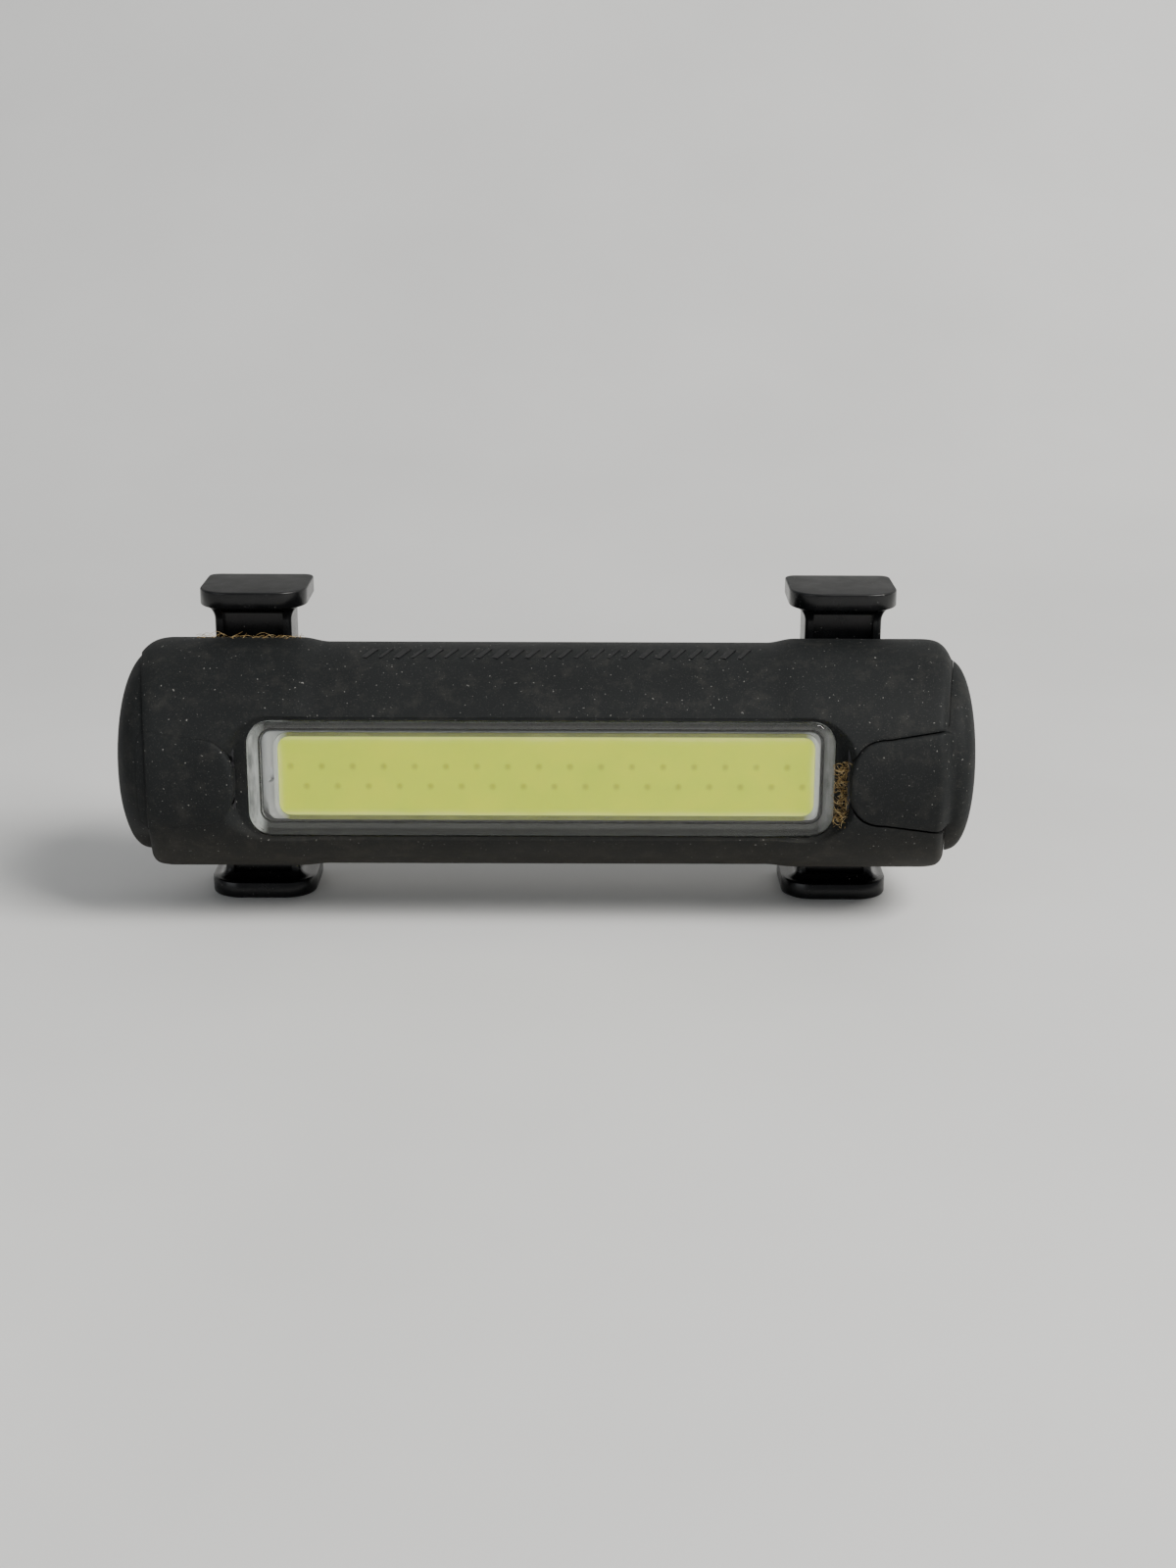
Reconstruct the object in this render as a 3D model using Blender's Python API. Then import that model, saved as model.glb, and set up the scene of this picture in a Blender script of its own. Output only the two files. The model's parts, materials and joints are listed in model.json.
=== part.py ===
"""A strap-on led light bar: a tube-shaped lamp in a rubber sleeve, with four T-shaped strap posts.

Run with: blender --background --python part.py

The lamp lies along X and shines along -Y. Every piece is placed in the frame of the tube's own
axis, and the parent empty moves that axis forward, so that the world origin lies on the plane of
the saddle pads, which is where a bar or a rail holds the lamp.
"""

import math

import bmesh
import bpy
from mathutils import Matrix, Vector

MM = 0.001

# ---- driving dimensions -------------------------------------------------------------------------
# Body: a round front that runs into two straight flanks and a flat back.
BODY_LENGTH = 93.2 * MM
BODY_RADIUS = 12.2 * MM
BACK_DEPTH = 12.0 * MM           # from the tube's axis to the flat back
BACK_CORNER_RADIUS = 3.0 * MM
FLANK_TAPER = math.radians(14.8)
END_ROUND_LENGTH = 6.1 * MM      # how far the domed end reaches back from the tip
END_FULLNESS = 2.8               # power of the end's superellipse, 2 would be an ellipse
DOME_STEP = 0.6 * MM             # how far the end's dome is set in from the shoulder beside it
SHOULDER_RISE = 0.35 * MM
SHOULDER_START = 24.0 * MM       # distance from the middle where the shoulder begins
SHOULDER_BLEND = 3.0 * MM

SLEEVE_WALL = 1.15 * MM
HOUSING_WALL = 1.3 * MM
SKIN_CLEARANCE = 0.05 * MM       # between two pieces that are moulded or glued together
FIT_CLEARANCE = 0.1 * MM         # between two pieces that are put together by hand
MOVING_CLEARANCE = 0.15 * MM     # between a moving piece and what surrounds it

# Lens and led strip.
LENS_X = -0.56 * MM              # the lens sits a little to the left of the middle
LED_BOARD_X = -0.35 * MM
LENS_LENGTH = 62.3 * MM
LENS_HEIGHT = 12.7 * MM
LENS_CORNER_RADIUS = 2.6 * MM
LENS_RECESS = 1.9 * MM          # how far the lens's face lies behind the body's front crest
LENS_CUP_DEPTH = 2.27 * MM       # from the lens's face back to the flat that it is glued to
LENS_PLATE = 1.4 * MM
LENS_SKIRT_WALL = 1.1 * MM
GASKET_THICKNESS = 0.25 * MM
PHOSPHOR_END_MARGIN = 1.55 * MM  # between the phosphor and the lens's skirt, at either end
PHOSPHOR_HEIGHT = 8.67 * MM
PHOSPHOR_THICKNESS = 0.35 * MM
DAM_WIDTH = 0.45 * MM
CHIP_ROWS = 2
CHIP_PITCH = 3.3 * MM
CHIP_ROW_GAP = 2.2 * MM
CHIP_SIZE = 0.7 * MM
CHIP_THICKNESS = 0.1 * MM
LED_BOARD_END_MARGIN = 0.65 * MM
LED_BOARD_HEIGHT = 9.9 * MM
LED_BOARD_THICKNESS = 0.95 * MM
BOARD_NOTCH_RADIUS = 0.9 * MM
THERMAL_PAD_THICKNESS = 0.2 * MM
SPREADER_PLATE = 1.0 * MM

# Strap posts.
POST_SPACING = 64.8 * MM         # from the left pair to the right pair
POST_STANDOUT = 5.4 * MM        # from the round body to a post's outer face
HEAD_WIDTH = 11.8 * MM
HEAD_DEPTH = 10.35 * MM
HEAD_FRONT = 1.25 * MM           # from the tube's axis back to the head's front edge
HEAD_THICKNESS = 1.9 * MM
HEAD_EDGE_ROUND = 0.3 * MM
HEAD_FRONT_CORNER = 3.5 * MM
HEAD_BACK_CORNER = 1.2 * MM
STEM_CORNER = 0.6 * MM
STEM_WIDTH = 8.4 * MM
STEM_DEPTH = 6.2 * MM
STEM_ROOT_REACH = 1.24 * MM      # how far the stem's root stands into the cavity
STEM_SETBACK = 1.7 * MM          # how far the stem's front lies behind the head's front
FLARE_HEIGHT = 1.2 * MM
STEM_RIB = 0.9 * MM              # the ribs on either side of the hollow in the stem's front
CORE_DEPTH = 0.9 * MM

# Saddle pads on the back.
PAD_LENGTH = 15.0 * MM
PAD_HEIGHT = 16.4 * MM
PAD_STANDOUT = 0.6 * MM          # how far the pads stand out of the flat back
PAD_GROOVE_HEIGHT = 10.0 * MM
PAD_GROOVE_DEPTH = 1.1 * MM
PAD_CENTRE = 33.7 * MM           # from the middle to the middle of a pad

# Power button on the left, port cover on the right.
BUTTON_LENS_GAP = 1.2 * MM       # from the lens's end to the button's nearer end
BUTTON_LENGTH = 10.3 * MM
BUTTON_HEIGHT = 9.8 * MM
BUTTON_CORNER_RADIUS = 4.0 * MM
BUTTON_RISE = 0.2 * MM
BUTTON_TRAVEL = 0.5 * MM
BUTTON_STUB_RADIUS = 1.5 * MM
SWITCH_TRAVEL = 0.25 * MM
SWITCH_OFFSET = 0.6 * MM         # from the button's middle outward to the switch
TONGUE_LENS_GAP = 1.41 * MM      # from the lens's end to the tip of the cover's tongue
TONGUE_HEIGHT = 10.6 * MM
TONGUE_CORNER_RADIUS = 4.2 * MM
COVER_FRONT_SETBACK = 4.5 * MM   # from the right tip back to where the cover's seam meets the front
COVER_BACK_SETBACK = 1.5 * MM    # the same, to where the seam meets the hinge's bevel
COVER_BACK_Y = 5.7 * MM
COVER_HINGE_SETBACK = 0.8 * MM   # from the right tip back to the hinge's axis
COVER_HINGE_Y = 7.6 * MM
PLUG_CLEARANCE = 0.3 * MM
PLUG_DEPTH = 0.9 * MM

# Electronics.
BOARD_THICKNESS = 1.0 * MM
BOARD_GAP = 2.45 * MM            # between the heat spreader and the main board
BOARD_HEIGHT = 15.6 * MM
BOARD_END_MARGIN = 5.0 * MM      # from the lamp's tips in to the main board's ends
USB_WIDTH = 8.94 * MM
USB_THICKNESS = 3.16 * MM
USB_DEPTH = 7.3 * MM
USB_SHELL_WALL = 0.3 * MM
USB_MOUTH_SETBACK = 3.6 * MM     # from the right tip back to the socket's mouth
USB_TONGUE_WIDTH = 6.7 * MM
USB_TONGUE_THICKNESS = 0.7 * MM
SWITCH_SIZE = 4.5 * MM
SWITCH_PLUNGER_RADIUS = 0.9 * MM
BATTERY_LENGTH = 50.0 * MM
BATTERY_HEIGHT = 15.0 * MM
BATTERY_THICKNESS = 6.6 * MM
BATTERY_FRONT_Y = 0.9 * MM
SEAL_THICKNESS = 0.4 * MM
WIRE_RADIUS = 0.45 * MM

# Screws.
HOUSING_SCREW_X = 38.2 * MM
HOUSING_SCREW_Z = 6.2 * MM
HOUSING_SCREW_RADIUS = 0.8 * MM
HOUSING_SCREW_HEAD_RADIUS = 1.4 * MM
HOUSING_SCREW_HEAD = 1.0 * MM
HOUSING_SCREW_LENGTH = 6.5 * MM
HOUSING_SCREW_GRIP = 3.8 * MM    # from the main board's back to where the screw's head bears
REAR_PILLAR_RADIUS = 2.2 * MM
FRONT_PILLAR_RADIUS = 1.55 * MM
SPREADER_SCREW_MARGIN = 1.65 * MM   # from the end of the lens's seat out to the screws
SPREADER_SCREW_Z = 3.4 * MM
SPREADER_SCREW_RADIUS = 0.6 * MM
SPREADER_SCREW_HEAD_RADIUS = 1.1 * MM

# Smoothness.
FRONT_ARC_STEPS = 26
CORNER_ARC_STEPS = 3
CYLINDER_SIDES = 16
HEAD_CORNER_STEPS = 5
HEAD_EDGE_STEPS = 3
SHOULDER_STEPS = (0.0, 0.4, 0.52)            # shares of the rounded end's length
DOME_STEPS = (0.55, 0.68, 0.82, 0.93, 0.99)  # the same, past the step between shoulder and dome

# ---- sizes that follow from the ones above ------------------------------------------------------
SADDLE_PLANE = BACK_DEPTH + PAD_STANDOUT
HOUSING_INSET = SLEEVE_WALL + SKIN_CLEARANCE
CAVITY_INSET = HOUSING_INSET + HOUSING_WALL
LENS_FACE_DEPTH = BODY_RADIUS - LENS_RECESS
LENS_SEAT_DEPTH = LENS_FACE_DEPTH - LENS_CUP_DEPTH
LENS_SKIRT_END = LENS_SEAT_DEPTH + GASKET_THICKNESS + 2 * SKIN_CLEARANCE
LENS_CAVITY_LENGTH = LENS_LENGTH - 2 * LENS_SKIRT_WALL
LENS_CAVITY_HEIGHT = LENS_HEIGHT - 2 * LENS_SKIRT_WALL
SEAT_INNER_DEPTH = LENS_SEAT_DEPTH - HOUSING_WALL
SEAT_HALF_LENGTH = LENS_LENGTH / 2 + 1.3 * MM
PHOSPHOR_LENGTH = LENS_CAVITY_LENGTH - 2 * PHOSPHOR_END_MARGIN
LED_BOARD_LENGTH = LENS_CAVITY_LENGTH - 2 * LED_BOARD_END_MARGIN
CHIPS_PER_ROW = int((PHOSPHOR_LENGTH - CHIP_SIZE) / CHIP_PITCH)
POST_REACH = BODY_RADIUS + POST_STANDOUT
STEM_ROOT = BODY_RADIUS - CAVITY_INSET - STEM_ROOT_REACH
STEM_FRONT = HEAD_FRONT + STEM_SETBACK
CORE_WIDTH = STEM_WIDTH - 2 * STEM_RIB
BUTTON_INNER_END = LENS_LENGTH / 2 - LENS_X + BUTTON_LENS_GAP
BUTTON_WALL = SLEEVE_WALL - FIT_CLEARANCE
SWITCH_X = -BUTTON_INNER_END - BUTTON_LENGTH / 2 - SWITCH_OFFSET
TONGUE_TIP = LENS_X + LENS_LENGTH / 2 + TONGUE_LENS_GAP
COVER_FRONT_X = BODY_LENGTH / 2 - COVER_FRONT_SETBACK
COVER_BACK_X = BODY_LENGTH / 2 - COVER_BACK_SETBACK
COVER_HINGE_X = BODY_LENGTH / 2 - COVER_HINGE_SETBACK
USB_MOUTH_X = BODY_LENGTH / 2 - USB_MOUTH_SETBACK
BOARD_HALF_LENGTH = BODY_LENGTH / 2 - BOARD_END_MARGIN
SPREADER_SCREW_X = SEAT_HALF_LENGTH + SPREADER_SCREW_MARGIN
PHOSPHOR_FACE_DEPTH = LENS_FACE_DEPTH - LENS_PLATE - 0.3 * MM
CHIP_FACE_DEPTH = PHOSPHOR_FACE_DEPTH - PHOSPHOR_THICKNESS - SKIN_CLEARANCE
LED_BOARD_FACE_DEPTH = CHIP_FACE_DEPTH - CHIP_THICKNESS - SKIN_CLEARANCE
THERMAL_PAD_FACE_DEPTH = LED_BOARD_FACE_DEPTH - LED_BOARD_THICKNESS - SKIN_CLEARANCE
SPREADER_FACE_DEPTH = THERMAL_PAD_FACE_DEPTH - THERMAL_PAD_THICKNESS - SKIN_CLEARANCE
SPREADER_PLATE_DEPTH = SEAT_INNER_DEPTH - SKIN_CLEARANCE
SPREADER_BACK_DEPTH = SPREADER_PLATE_DEPTH - SPREADER_PLATE
SPREADER_SCREW_END = SPREADER_PLATE_DEPTH + 1.95 * MM
BOARD_FRONT_DEPTH = SPREADER_BACK_DEPTH - BOARD_GAP
BOARD_BACK_DEPTH = BOARD_FRONT_DEPTH - BOARD_THICKNESS
HOUSING_SCREW_SEAT_Y = HOUSING_SCREW_GRIP - BOARD_BACK_DEPTH
HOUSING_SCREW_END = HOUSING_SCREW_LENGTH - HOUSING_SCREW_SEAT_Y
SWITCH_HEIGHT = 3.4 * MM
SWITCH_FACE_DEPTH = BOARD_FRONT_DEPTH + SKIN_CLEARANCE + SWITCH_HEIGHT
PLUNGER_FACE_DEPTH = SWITCH_FACE_DEPTH + 0.5 * MM
STUB_FACE_DEPTH = PLUNGER_FACE_DEPTH + BUTTON_TRAVEL - SWITCH_TRAVEL + SKIN_CLEARANCE
USB_CENTRE_DEPTH = BOARD_FRONT_DEPTH + SKIN_CLEARANCE + USB_THICKNESS / 2
LED_LEAD_PLACE = (5.0 * MM - LED_BOARD_LENGTH / 2, 1.2 * MM)
FAR = 20 * MM                    # a cutter's reach past the surface it goes through


# ---- scene, materials and objects ---------------------------------------------------------------
def clear_scene():
    """Remove whatever the start-up file holds."""
    for item in list(bpy.data.objects):
        bpy.data.objects.remove(item, do_unlink=True)


def new_collection(name):
    """Make a collection under the scene's own."""
    collection = bpy.data.collections.new(name)
    bpy.context.scene.collection.children.link(collection)
    return collection


def make_material(name, color, roughness, metallic=0.0, alpha=1.0):
    """Make a Principled material."""
    material = bpy.data.materials.new(name)
    material.use_nodes = True
    shader = material.node_tree.nodes["Principled BSDF"]
    shader.inputs["Base Color"].default_value = (*color, 1.0)
    shader.inputs["Roughness"].default_value = roughness
    shader.inputs["Metallic"].default_value = metallic
    shader.inputs["Alpha"].default_value = alpha
    material.diffuse_color = (*color, alpha)
    return material


def make_materials():
    """Make one material for each kind of stuff in the lamp."""
    return {
        "rubber": make_material("rubber", (0.020, 0.021, 0.022), 0.75),
        "gloss_black": make_material("gloss_black", (0.008, 0.008, 0.009), 0.18),
        "inner_plastic": make_material("inner_plastic", (0.020, 0.020, 0.022), 0.45),
        "clear_plastic": make_material("clear_plastic", (0.90, 0.92, 0.90), 0.05, alpha=0.35),
        "phosphor": make_material("phosphor", (0.87, 0.90, 0.02), 0.55),
        "white_silicone": make_material("white_silicone", (0.80, 0.80, 0.78), 0.5),
        "white_mask": make_material("white_mask", (0.82, 0.82, 0.80), 0.4),
        "chip": make_material("chip", (0.35, 0.33, 0.12), 0.3),
        "aluminium": make_material("aluminium", (0.77, 0.78, 0.79), 0.35, 1.0),
        "steel": make_material("steel", (0.55, 0.56, 0.57), 0.3, 1.0),
        "green_mask": make_material("green_mask", (0.02, 0.13, 0.05), 0.4),
        "epoxy_black": make_material("epoxy_black", (0.015, 0.015, 0.016), 0.5),
        "ceramic": make_material("ceramic", (0.45, 0.33, 0.22), 0.45),
        "ferrite": make_material("ferrite", (0.06, 0.06, 0.065), 0.6),
        "pouch": make_material("pouch", (0.62, 0.63, 0.64), 0.3, 1.0),
        "grey_pad": make_material("grey_pad", (0.35, 0.36, 0.37), 0.8),
        "foam": make_material("foam", (0.05, 0.05, 0.05), 0.9),
        "red_wire": make_material("red_wire", (0.50, 0.02, 0.02), 0.4),
        "black_wire": make_material("black_wire", (0.02, 0.02, 0.02), 0.4),
        "lamp_white": make_material("lamp_white", (0.85, 0.86, 0.80), 0.3),
    }


class Workshop:
    """Holds the collections, the parent frame and the materials, and files each new object."""

    def __init__(self):
        self.parts = new_collection("led_light_bar")
        self.cutters = new_collection("cutters")
        self.materials = make_materials()
        self.frame = bpy.data.objects.new("tube_axis_frame", None)
        self.frame.location = (0.0, -SADDLE_PLANE, 0.0)
        self.parts.objects.link(self.frame)

    def add(self, name, mesh_or_bmesh, material=None, origin=(0.0, 0.0, 0.0)):
        """File a mesh as a part, or as a cutter when it has no material."""
        offset = Vector(origin)
        if isinstance(mesh_or_bmesh, bmesh.types.BMesh):
            mesh = bpy.data.meshes.new(name)
            mesh_or_bmesh.to_mesh(mesh)
            mesh_or_bmesh.free()
        else:
            mesh = mesh_or_bmesh
        mesh.transform(Matrix.Translation(-offset))
        mesh.shade_smooth()
        mesh.set_sharp_from_angle(angle=math.radians(35))
        item = bpy.data.objects.new(name, mesh)
        item.location = offset
        item.parent = self.frame
        if material is None:
            item.hide_render = True
            item.display_type = "WIRE"
            self.cutters.objects.link(item)
        else:
            mesh.materials.append(self.materials[material])
            self.parts.objects.link(item)
        return item


def boolean(item, tool, operation):
    """Change a part with a cutter."""
    modifier = item.modifiers.new(operation.lower() + "_" + tool.name, "BOOLEAN")
    modifier.operation = operation
    modifier.object = tool
    modifier.solver = "EXACT"


def cut(item, *tools):
    """Take cutters away from a part."""
    for tool in tools:
        boolean(item, tool, "DIFFERENCE")


def join(item, *tools):
    """Add cutters' volumes to a part."""
    for tool in tools:
        boolean(item, tool, "UNION")


def keep(item, tool):
    """Keep only what lies inside the cutter."""
    boolean(item, tool, "INTERSECT")


# ---- basic solids -------------------------------------------------------------------------------
def box(low, high):
    """A box between two corners."""
    low = Vector(low)
    high = Vector(high)
    mesh = bmesh.new()
    bmesh.ops.create_cube(mesh, size=1.0)
    size = high - low
    bmesh.ops.scale(mesh, vec=size, verts=mesh.verts)
    bmesh.ops.translate(mesh, vec=(low + high) / 2, verts=mesh.verts)
    return mesh


def rounded_box(low, high, radius, axis, segments=4):
    """A box whose four edges along one axis (0, 1 or 2) are rounded."""
    mesh = box(low, high)
    edges = []
    for edge in mesh.edges:
        direction = (edge.verts[1].co - edge.verts[0].co).normalized()
        if abs(direction[axis]) > 0.9:
            edges.append(edge)
    bmesh.ops.bevel(mesh, geom=edges, offset=radius, segments=segments, profile=0.5, affect="EDGES")
    return mesh


def soft_box(low, high, radius, segments=2):
    """A box with all of its edges rounded."""
    mesh = box(low, high)
    bmesh.ops.bevel(
        mesh, geom=list(mesh.edges), offset=radius, segments=segments, profile=0.5, affect="EDGES"
    )
    return mesh


def cylinder_along_y(x, z, radius, y_start, y_end, sides=CYLINDER_SIDES):
    """A cylinder whose axis runs along Y."""
    mesh = bmesh.new()
    length = y_end - y_start
    turn = Matrix.Rotation(math.radians(90), 4, "X")
    place = Matrix.Translation((x, (y_start + y_end) / 2, z)) @ turn
    bmesh.ops.create_cone(
        mesh, cap_ends=True, segments=sides, radius1=radius, radius2=radius, depth=length, matrix=place
    )
    return mesh


def merge(*meshes):
    """Put several separate solids into one cutter's mesh."""
    target = bmesh.new()
    for source in meshes:
        scratch = bpy.data.meshes.new("scratch")
        source.to_mesh(scratch)
        source.free()
        target.from_mesh(scratch)
        bpy.data.meshes.remove(scratch)
    return target


def prism_along_z(points, z_low, z_high):
    """A flat outline in X and Y, drawn out along Z."""
    curve = bpy.data.curves.new("outline", "CURVE")
    curve.dimensions = "2D"
    curve.fill_mode = "BOTH"
    curve.extrude = (z_high - z_low) / 2
    spline = curve.splines.new("POLY")
    spline.points.add(len(points) - 1)
    for point, (x, y) in zip(spline.points, points):
        point.co = (x, y, 0.0, 1.0)
    spline.use_cyclic_u = True
    guide = bpy.data.objects.new("outline", curve)
    bpy.context.scene.collection.objects.link(guide)
    graph = bpy.context.evaluated_depsgraph_get()
    mesh = bpy.data.meshes.new_from_object(guide.evaluated_get(graph))
    solid = bmesh.new()
    solid.from_mesh(mesh)
    bmesh.ops.remove_doubles(solid, verts=solid.verts, dist=0.0005 * MM)
    bmesh.ops.translate(solid, vec=(0.0, 0.0, (z_low + z_high) / 2), verts=solid.verts)
    bmesh.ops.recalc_face_normals(solid, faces=solid.faces)
    bpy.data.objects.remove(guide, do_unlink=True)
    bpy.data.curves.remove(curve)
    bpy.data.meshes.remove(mesh)
    return solid


def loft(rings):
    """A solid through closed rings that all have the same number of points."""
    mesh = bmesh.new()
    rows = []
    for ring in rings:
        rows.append([mesh.verts.new(point) for point in ring])
    count = len(rows[0])
    for near, far in zip(rows, rows[1:]):
        for i in range(count):
            j = (i + 1) % count
            mesh.faces.new((near[i], near[j], far[j], far[i]))
    mesh.faces.new(rows[0])
    mesh.faces.new(list(reversed(rows[-1])))
    bmesh.ops.recalc_face_normals(mesh, faces=mesh.faces)
    return mesh


def wire(name, shop, material, points):
    """A short insulated lead through the given points."""
    curve = bpy.data.curves.new(name, "CURVE")
    curve.dimensions = "3D"
    curve.bevel_depth = WIRE_RADIUS
    curve.bevel_resolution = 2
    curve.use_fill_caps = True
    spline = curve.splines.new("POLY")
    route = smooth_route(points)
    spline.points.add(len(route) - 1)
    for point, place in zip(spline.points, route):
        point.co = (*place, 1.0)
    lead = bpy.data.objects.new(name, curve)
    curve.materials.append(shop.materials[material])
    lead.parent = shop.frame
    shop.parts.objects.link(lead)
    return lead


def smooth_route(points, steps=3):
    """Points along a smooth curve through the given ones."""
    places = [Vector(point) for point in points]
    padded = [2 * places[0] - places[1]] + places + [2 * places[-1] - places[-2]]
    route = []
    for i in range(1, len(padded) - 2):
        before, start, end, after = padded[i - 1:i + 3]
        for step in range(steps):
            t = step / steps
            route.append(
                0.5 * (2 * start + (end - before) * t
                       + (2 * before - 5 * start + 4 * end - after) * t ** 2
                       + (3 * start - before - 3 * end + after) * t ** 3)
            )
    route.append(places[-1])
    return route


# ---- the body's section and its lofts -----------------------------------------------------------
def section(inset, rise=0.0):
    """The body's outline in Y and Z, moved inward by the inset; the round part also rises."""
    radius = BODY_RADIUS - inset + rise
    back = BACK_DEPTH - inset
    corner = max(BACK_CORNER_RADIUS - inset, 0.4 * MM)
    corner_y = back - corner
    corner_z = (radius - corner - math.sin(FLANK_TAPER) * corner_y) / math.cos(FLANK_TAPER)
    outline = []
    start = math.radians(90) - FLANK_TAPER
    sweep = math.radians(360) - 2 * start
    for step in range(FRONT_ARC_STEPS + 1):
        angle = start + sweep * step / FRONT_ARC_STEPS
        outline.append((radius * math.cos(angle), radius * math.sin(angle)))
    for step in range(CORNER_ARC_STEPS + 1):
        angle = -start + start * step / CORNER_ARC_STEPS
        outline.append((corner_y + corner * math.cos(angle), -corner_z + corner * math.sin(angle)))
    for step in range(CORNER_ARC_STEPS + 1):
        angle = start * step / CORNER_ARC_STEPS
        outline.append((corner_y + corner * math.cos(angle), corner_z + corner * math.sin(angle)))
    return outline


def shoulder_height(distance):
    """How much the round part rises at this distance from the middle."""
    t = (distance - SHOULDER_START) / SHOULDER_BLEND
    t = min(max(t, 0.0), 1.0)
    return SHOULDER_RISE * t * t * (3 - 2 * t)


def end_profile():
    """Shares of the rounded end's length, each with the share of the section left there."""
    profile = []
    for t in SHOULDER_STEPS + DOME_STEPS:
        scale = (1 - t ** END_FULLNESS) ** (1 / END_FULLNESS)
        if t in DOME_STEPS:
            scale *= 1 - DOME_STEP / BODY_RADIUS
        profile.append((t, scale))
    return profile


def body_rings(inset, with_shoulders):
    """Rings of the whole body, moved inward by the inset."""
    half = BODY_LENGTH / 2 - inset
    round_start = half - END_ROUND_LENGTH
    stations = [(0.0, 1.0)]
    if with_shoulders:
        for step in range(4):
            stations.append((SHOULDER_START + SHOULDER_BLEND * step / 3, 1.0))
    for t, scale in end_profile():
        stations.append((round_start + END_ROUND_LENGTH * t, scale))
    mirrored = [(-x, scale) for x, scale in reversed(stations[1:])]
    rings = []
    for x, scale in mirrored + stations:
        rise = shoulder_height(abs(x)) if with_shoulders else 0.0
        rings.append([(x, y * scale, z * scale) for y, z in section(inset, rise)])
    return rings


def body_solid(inset, with_shoulders=False):
    """The whole body as one solid, moved inward by the inset."""
    return loft(body_rings(inset, with_shoulders))


def seat_block(grow):
    """The space in front of the lens's seat, which the housing leaves free."""
    half = SEAT_HALF_LENGTH - grow
    low = (LENS_X - half, -LENS_SEAT_DEPTH - grow - FAR, -FAR)
    return box(low, (LENS_X + half, -LENS_SEAT_DEPTH - grow, FAR))


def lens_outline(grow, y_front, y_back):
    """The lens's rounded rectangle, drawn out along Y."""
    half = LENS_LENGTH / 2 + grow
    up = LENS_HEIGHT / 2 + grow
    low = (LENS_X - half, -y_front, -up)
    return rounded_box(low, (LENS_X + half, -y_back, up), LENS_CORNER_RADIUS + grow, 1)


def lens_cavity(y_front, y_back):
    """The hollow inside the lens's skirt, drawn out along Y."""
    half = LENS_CAVITY_LENGTH / 2
    up = LENS_CAVITY_HEIGHT / 2
    low = (LENS_X - half, -y_front, -up)
    return rounded_box(low, (LENS_X + half, -y_back, up), LENS_CORNER_RADIUS - LENS_SKIRT_WALL, 1)


def button_outline(grow, y_front, y_back):
    """The power button's outline, drawn out along Y."""
    x_low = -BUTTON_INNER_END - BUTTON_LENGTH - grow
    x_high = -BUTTON_INNER_END + grow
    up = BUTTON_HEIGHT / 2 + grow
    return rounded_box((x_low, -y_front, -up), (x_high, -y_back, up), BUTTON_CORNER_RADIUS + grow, 1)


def tongue_outline(grow):
    """The outline of the port cover's tongue, drawn out along Y."""
    up = TONGUE_HEIGHT / 2 + grow
    low = (TONGUE_TIP - grow, -BODY_RADIUS - FAR, -up)
    high = (BODY_LENGTH / 2 + TONGUE_HEIGHT, -BODY_RADIUS / 2, up)
    return rounded_box(low, high, TONGUE_CORNER_RADIUS + grow, 1)


def cover_outline(grow):
    """The region at the right end that belongs to the port cover, drawn out along Z."""
    far_x = BODY_LENGTH / 2 + FAR
    far_y = -BODY_RADIUS - FAR
    slope = (COVER_BACK_X - COVER_FRONT_X) / (COVER_BACK_Y + BODY_RADIUS)
    points = (
        (far_x, COVER_HINGE_Y + grow),
        (COVER_HINGE_X - grow, COVER_HINGE_Y + grow),
        (COVER_BACK_X - grow, COVER_BACK_Y + grow),
        (COVER_BACK_X - grow + slope * (far_y - COVER_BACK_Y), far_y),
        (far_x, far_y),
    )
    return prism_along_z(points, -FAR, FAR)


# ---- the sleeve, the button and the port cover --------------------------------------------------
def add_sleeve(shop):
    """The rubber sleeve, open at the lens, the button, the posts, the pads and the right end."""
    sleeve = shop.add("rubber_sleeve", body_solid(0.0, True), "rubber")
    core = shop.add("sleeve_core", body_solid(SLEEVE_WALL))
    cut(core, shop.add("sleeve_seat", seat_block(SKIN_CLEARANCE)))
    cut(sleeve, core)
    cut(sleeve, shop.add("sleeve_window", lens_outline(FIT_CLEARANCE, LENS_FACE_DEPTH + FAR, 0.0)))
    cut(sleeve, shop.add("sleeve_recess", recess_solid()))
    cut(sleeve, shop.add("sleeve_tongue_space", tongue_outline(MOVING_CLEARANCE)))
    cut(sleeve, shop.add("sleeve_cover_space", cover_outline(MOVING_CLEARANCE)))
    cut(sleeve, shop.add("sleeve_button_hole", button_outline(MOVING_CLEARANCE, FAR, 0.0)))
    for index, side in enumerate((-1, 1)):
        for level in (-1, 1):
            name = "sleeve_post_hole_%d_%d" % (index, level + 1)
            cut(sleeve, shop.add(name, stem_space(side, level, FIT_CLEARANCE)))
        cut(sleeve, shop.add("sleeve_pad_space_%d" % index, pad_space(side, FIT_CLEARANCE)))


def recess_solid():
    """The flat that the lens lies in, with a sloping end on either side."""
    floor = -LENS_FACE_DEPTH - FIT_CLEARANCE
    crest = -BODY_RADIUS - SHOULDER_RISE - 1.0 * MM
    points = (
        (LENS_X - LENS_LENGTH / 2 - 0.5 * MM, floor),
        (TONGUE_TIP + 1.2 * MM, floor),
        (TONGUE_TIP + 3.0 * MM, crest),
        (-BUTTON_INNER_END - 0.6 * MM, crest),
    )
    return prism_along_z(points, -FAR, FAR)


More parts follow.
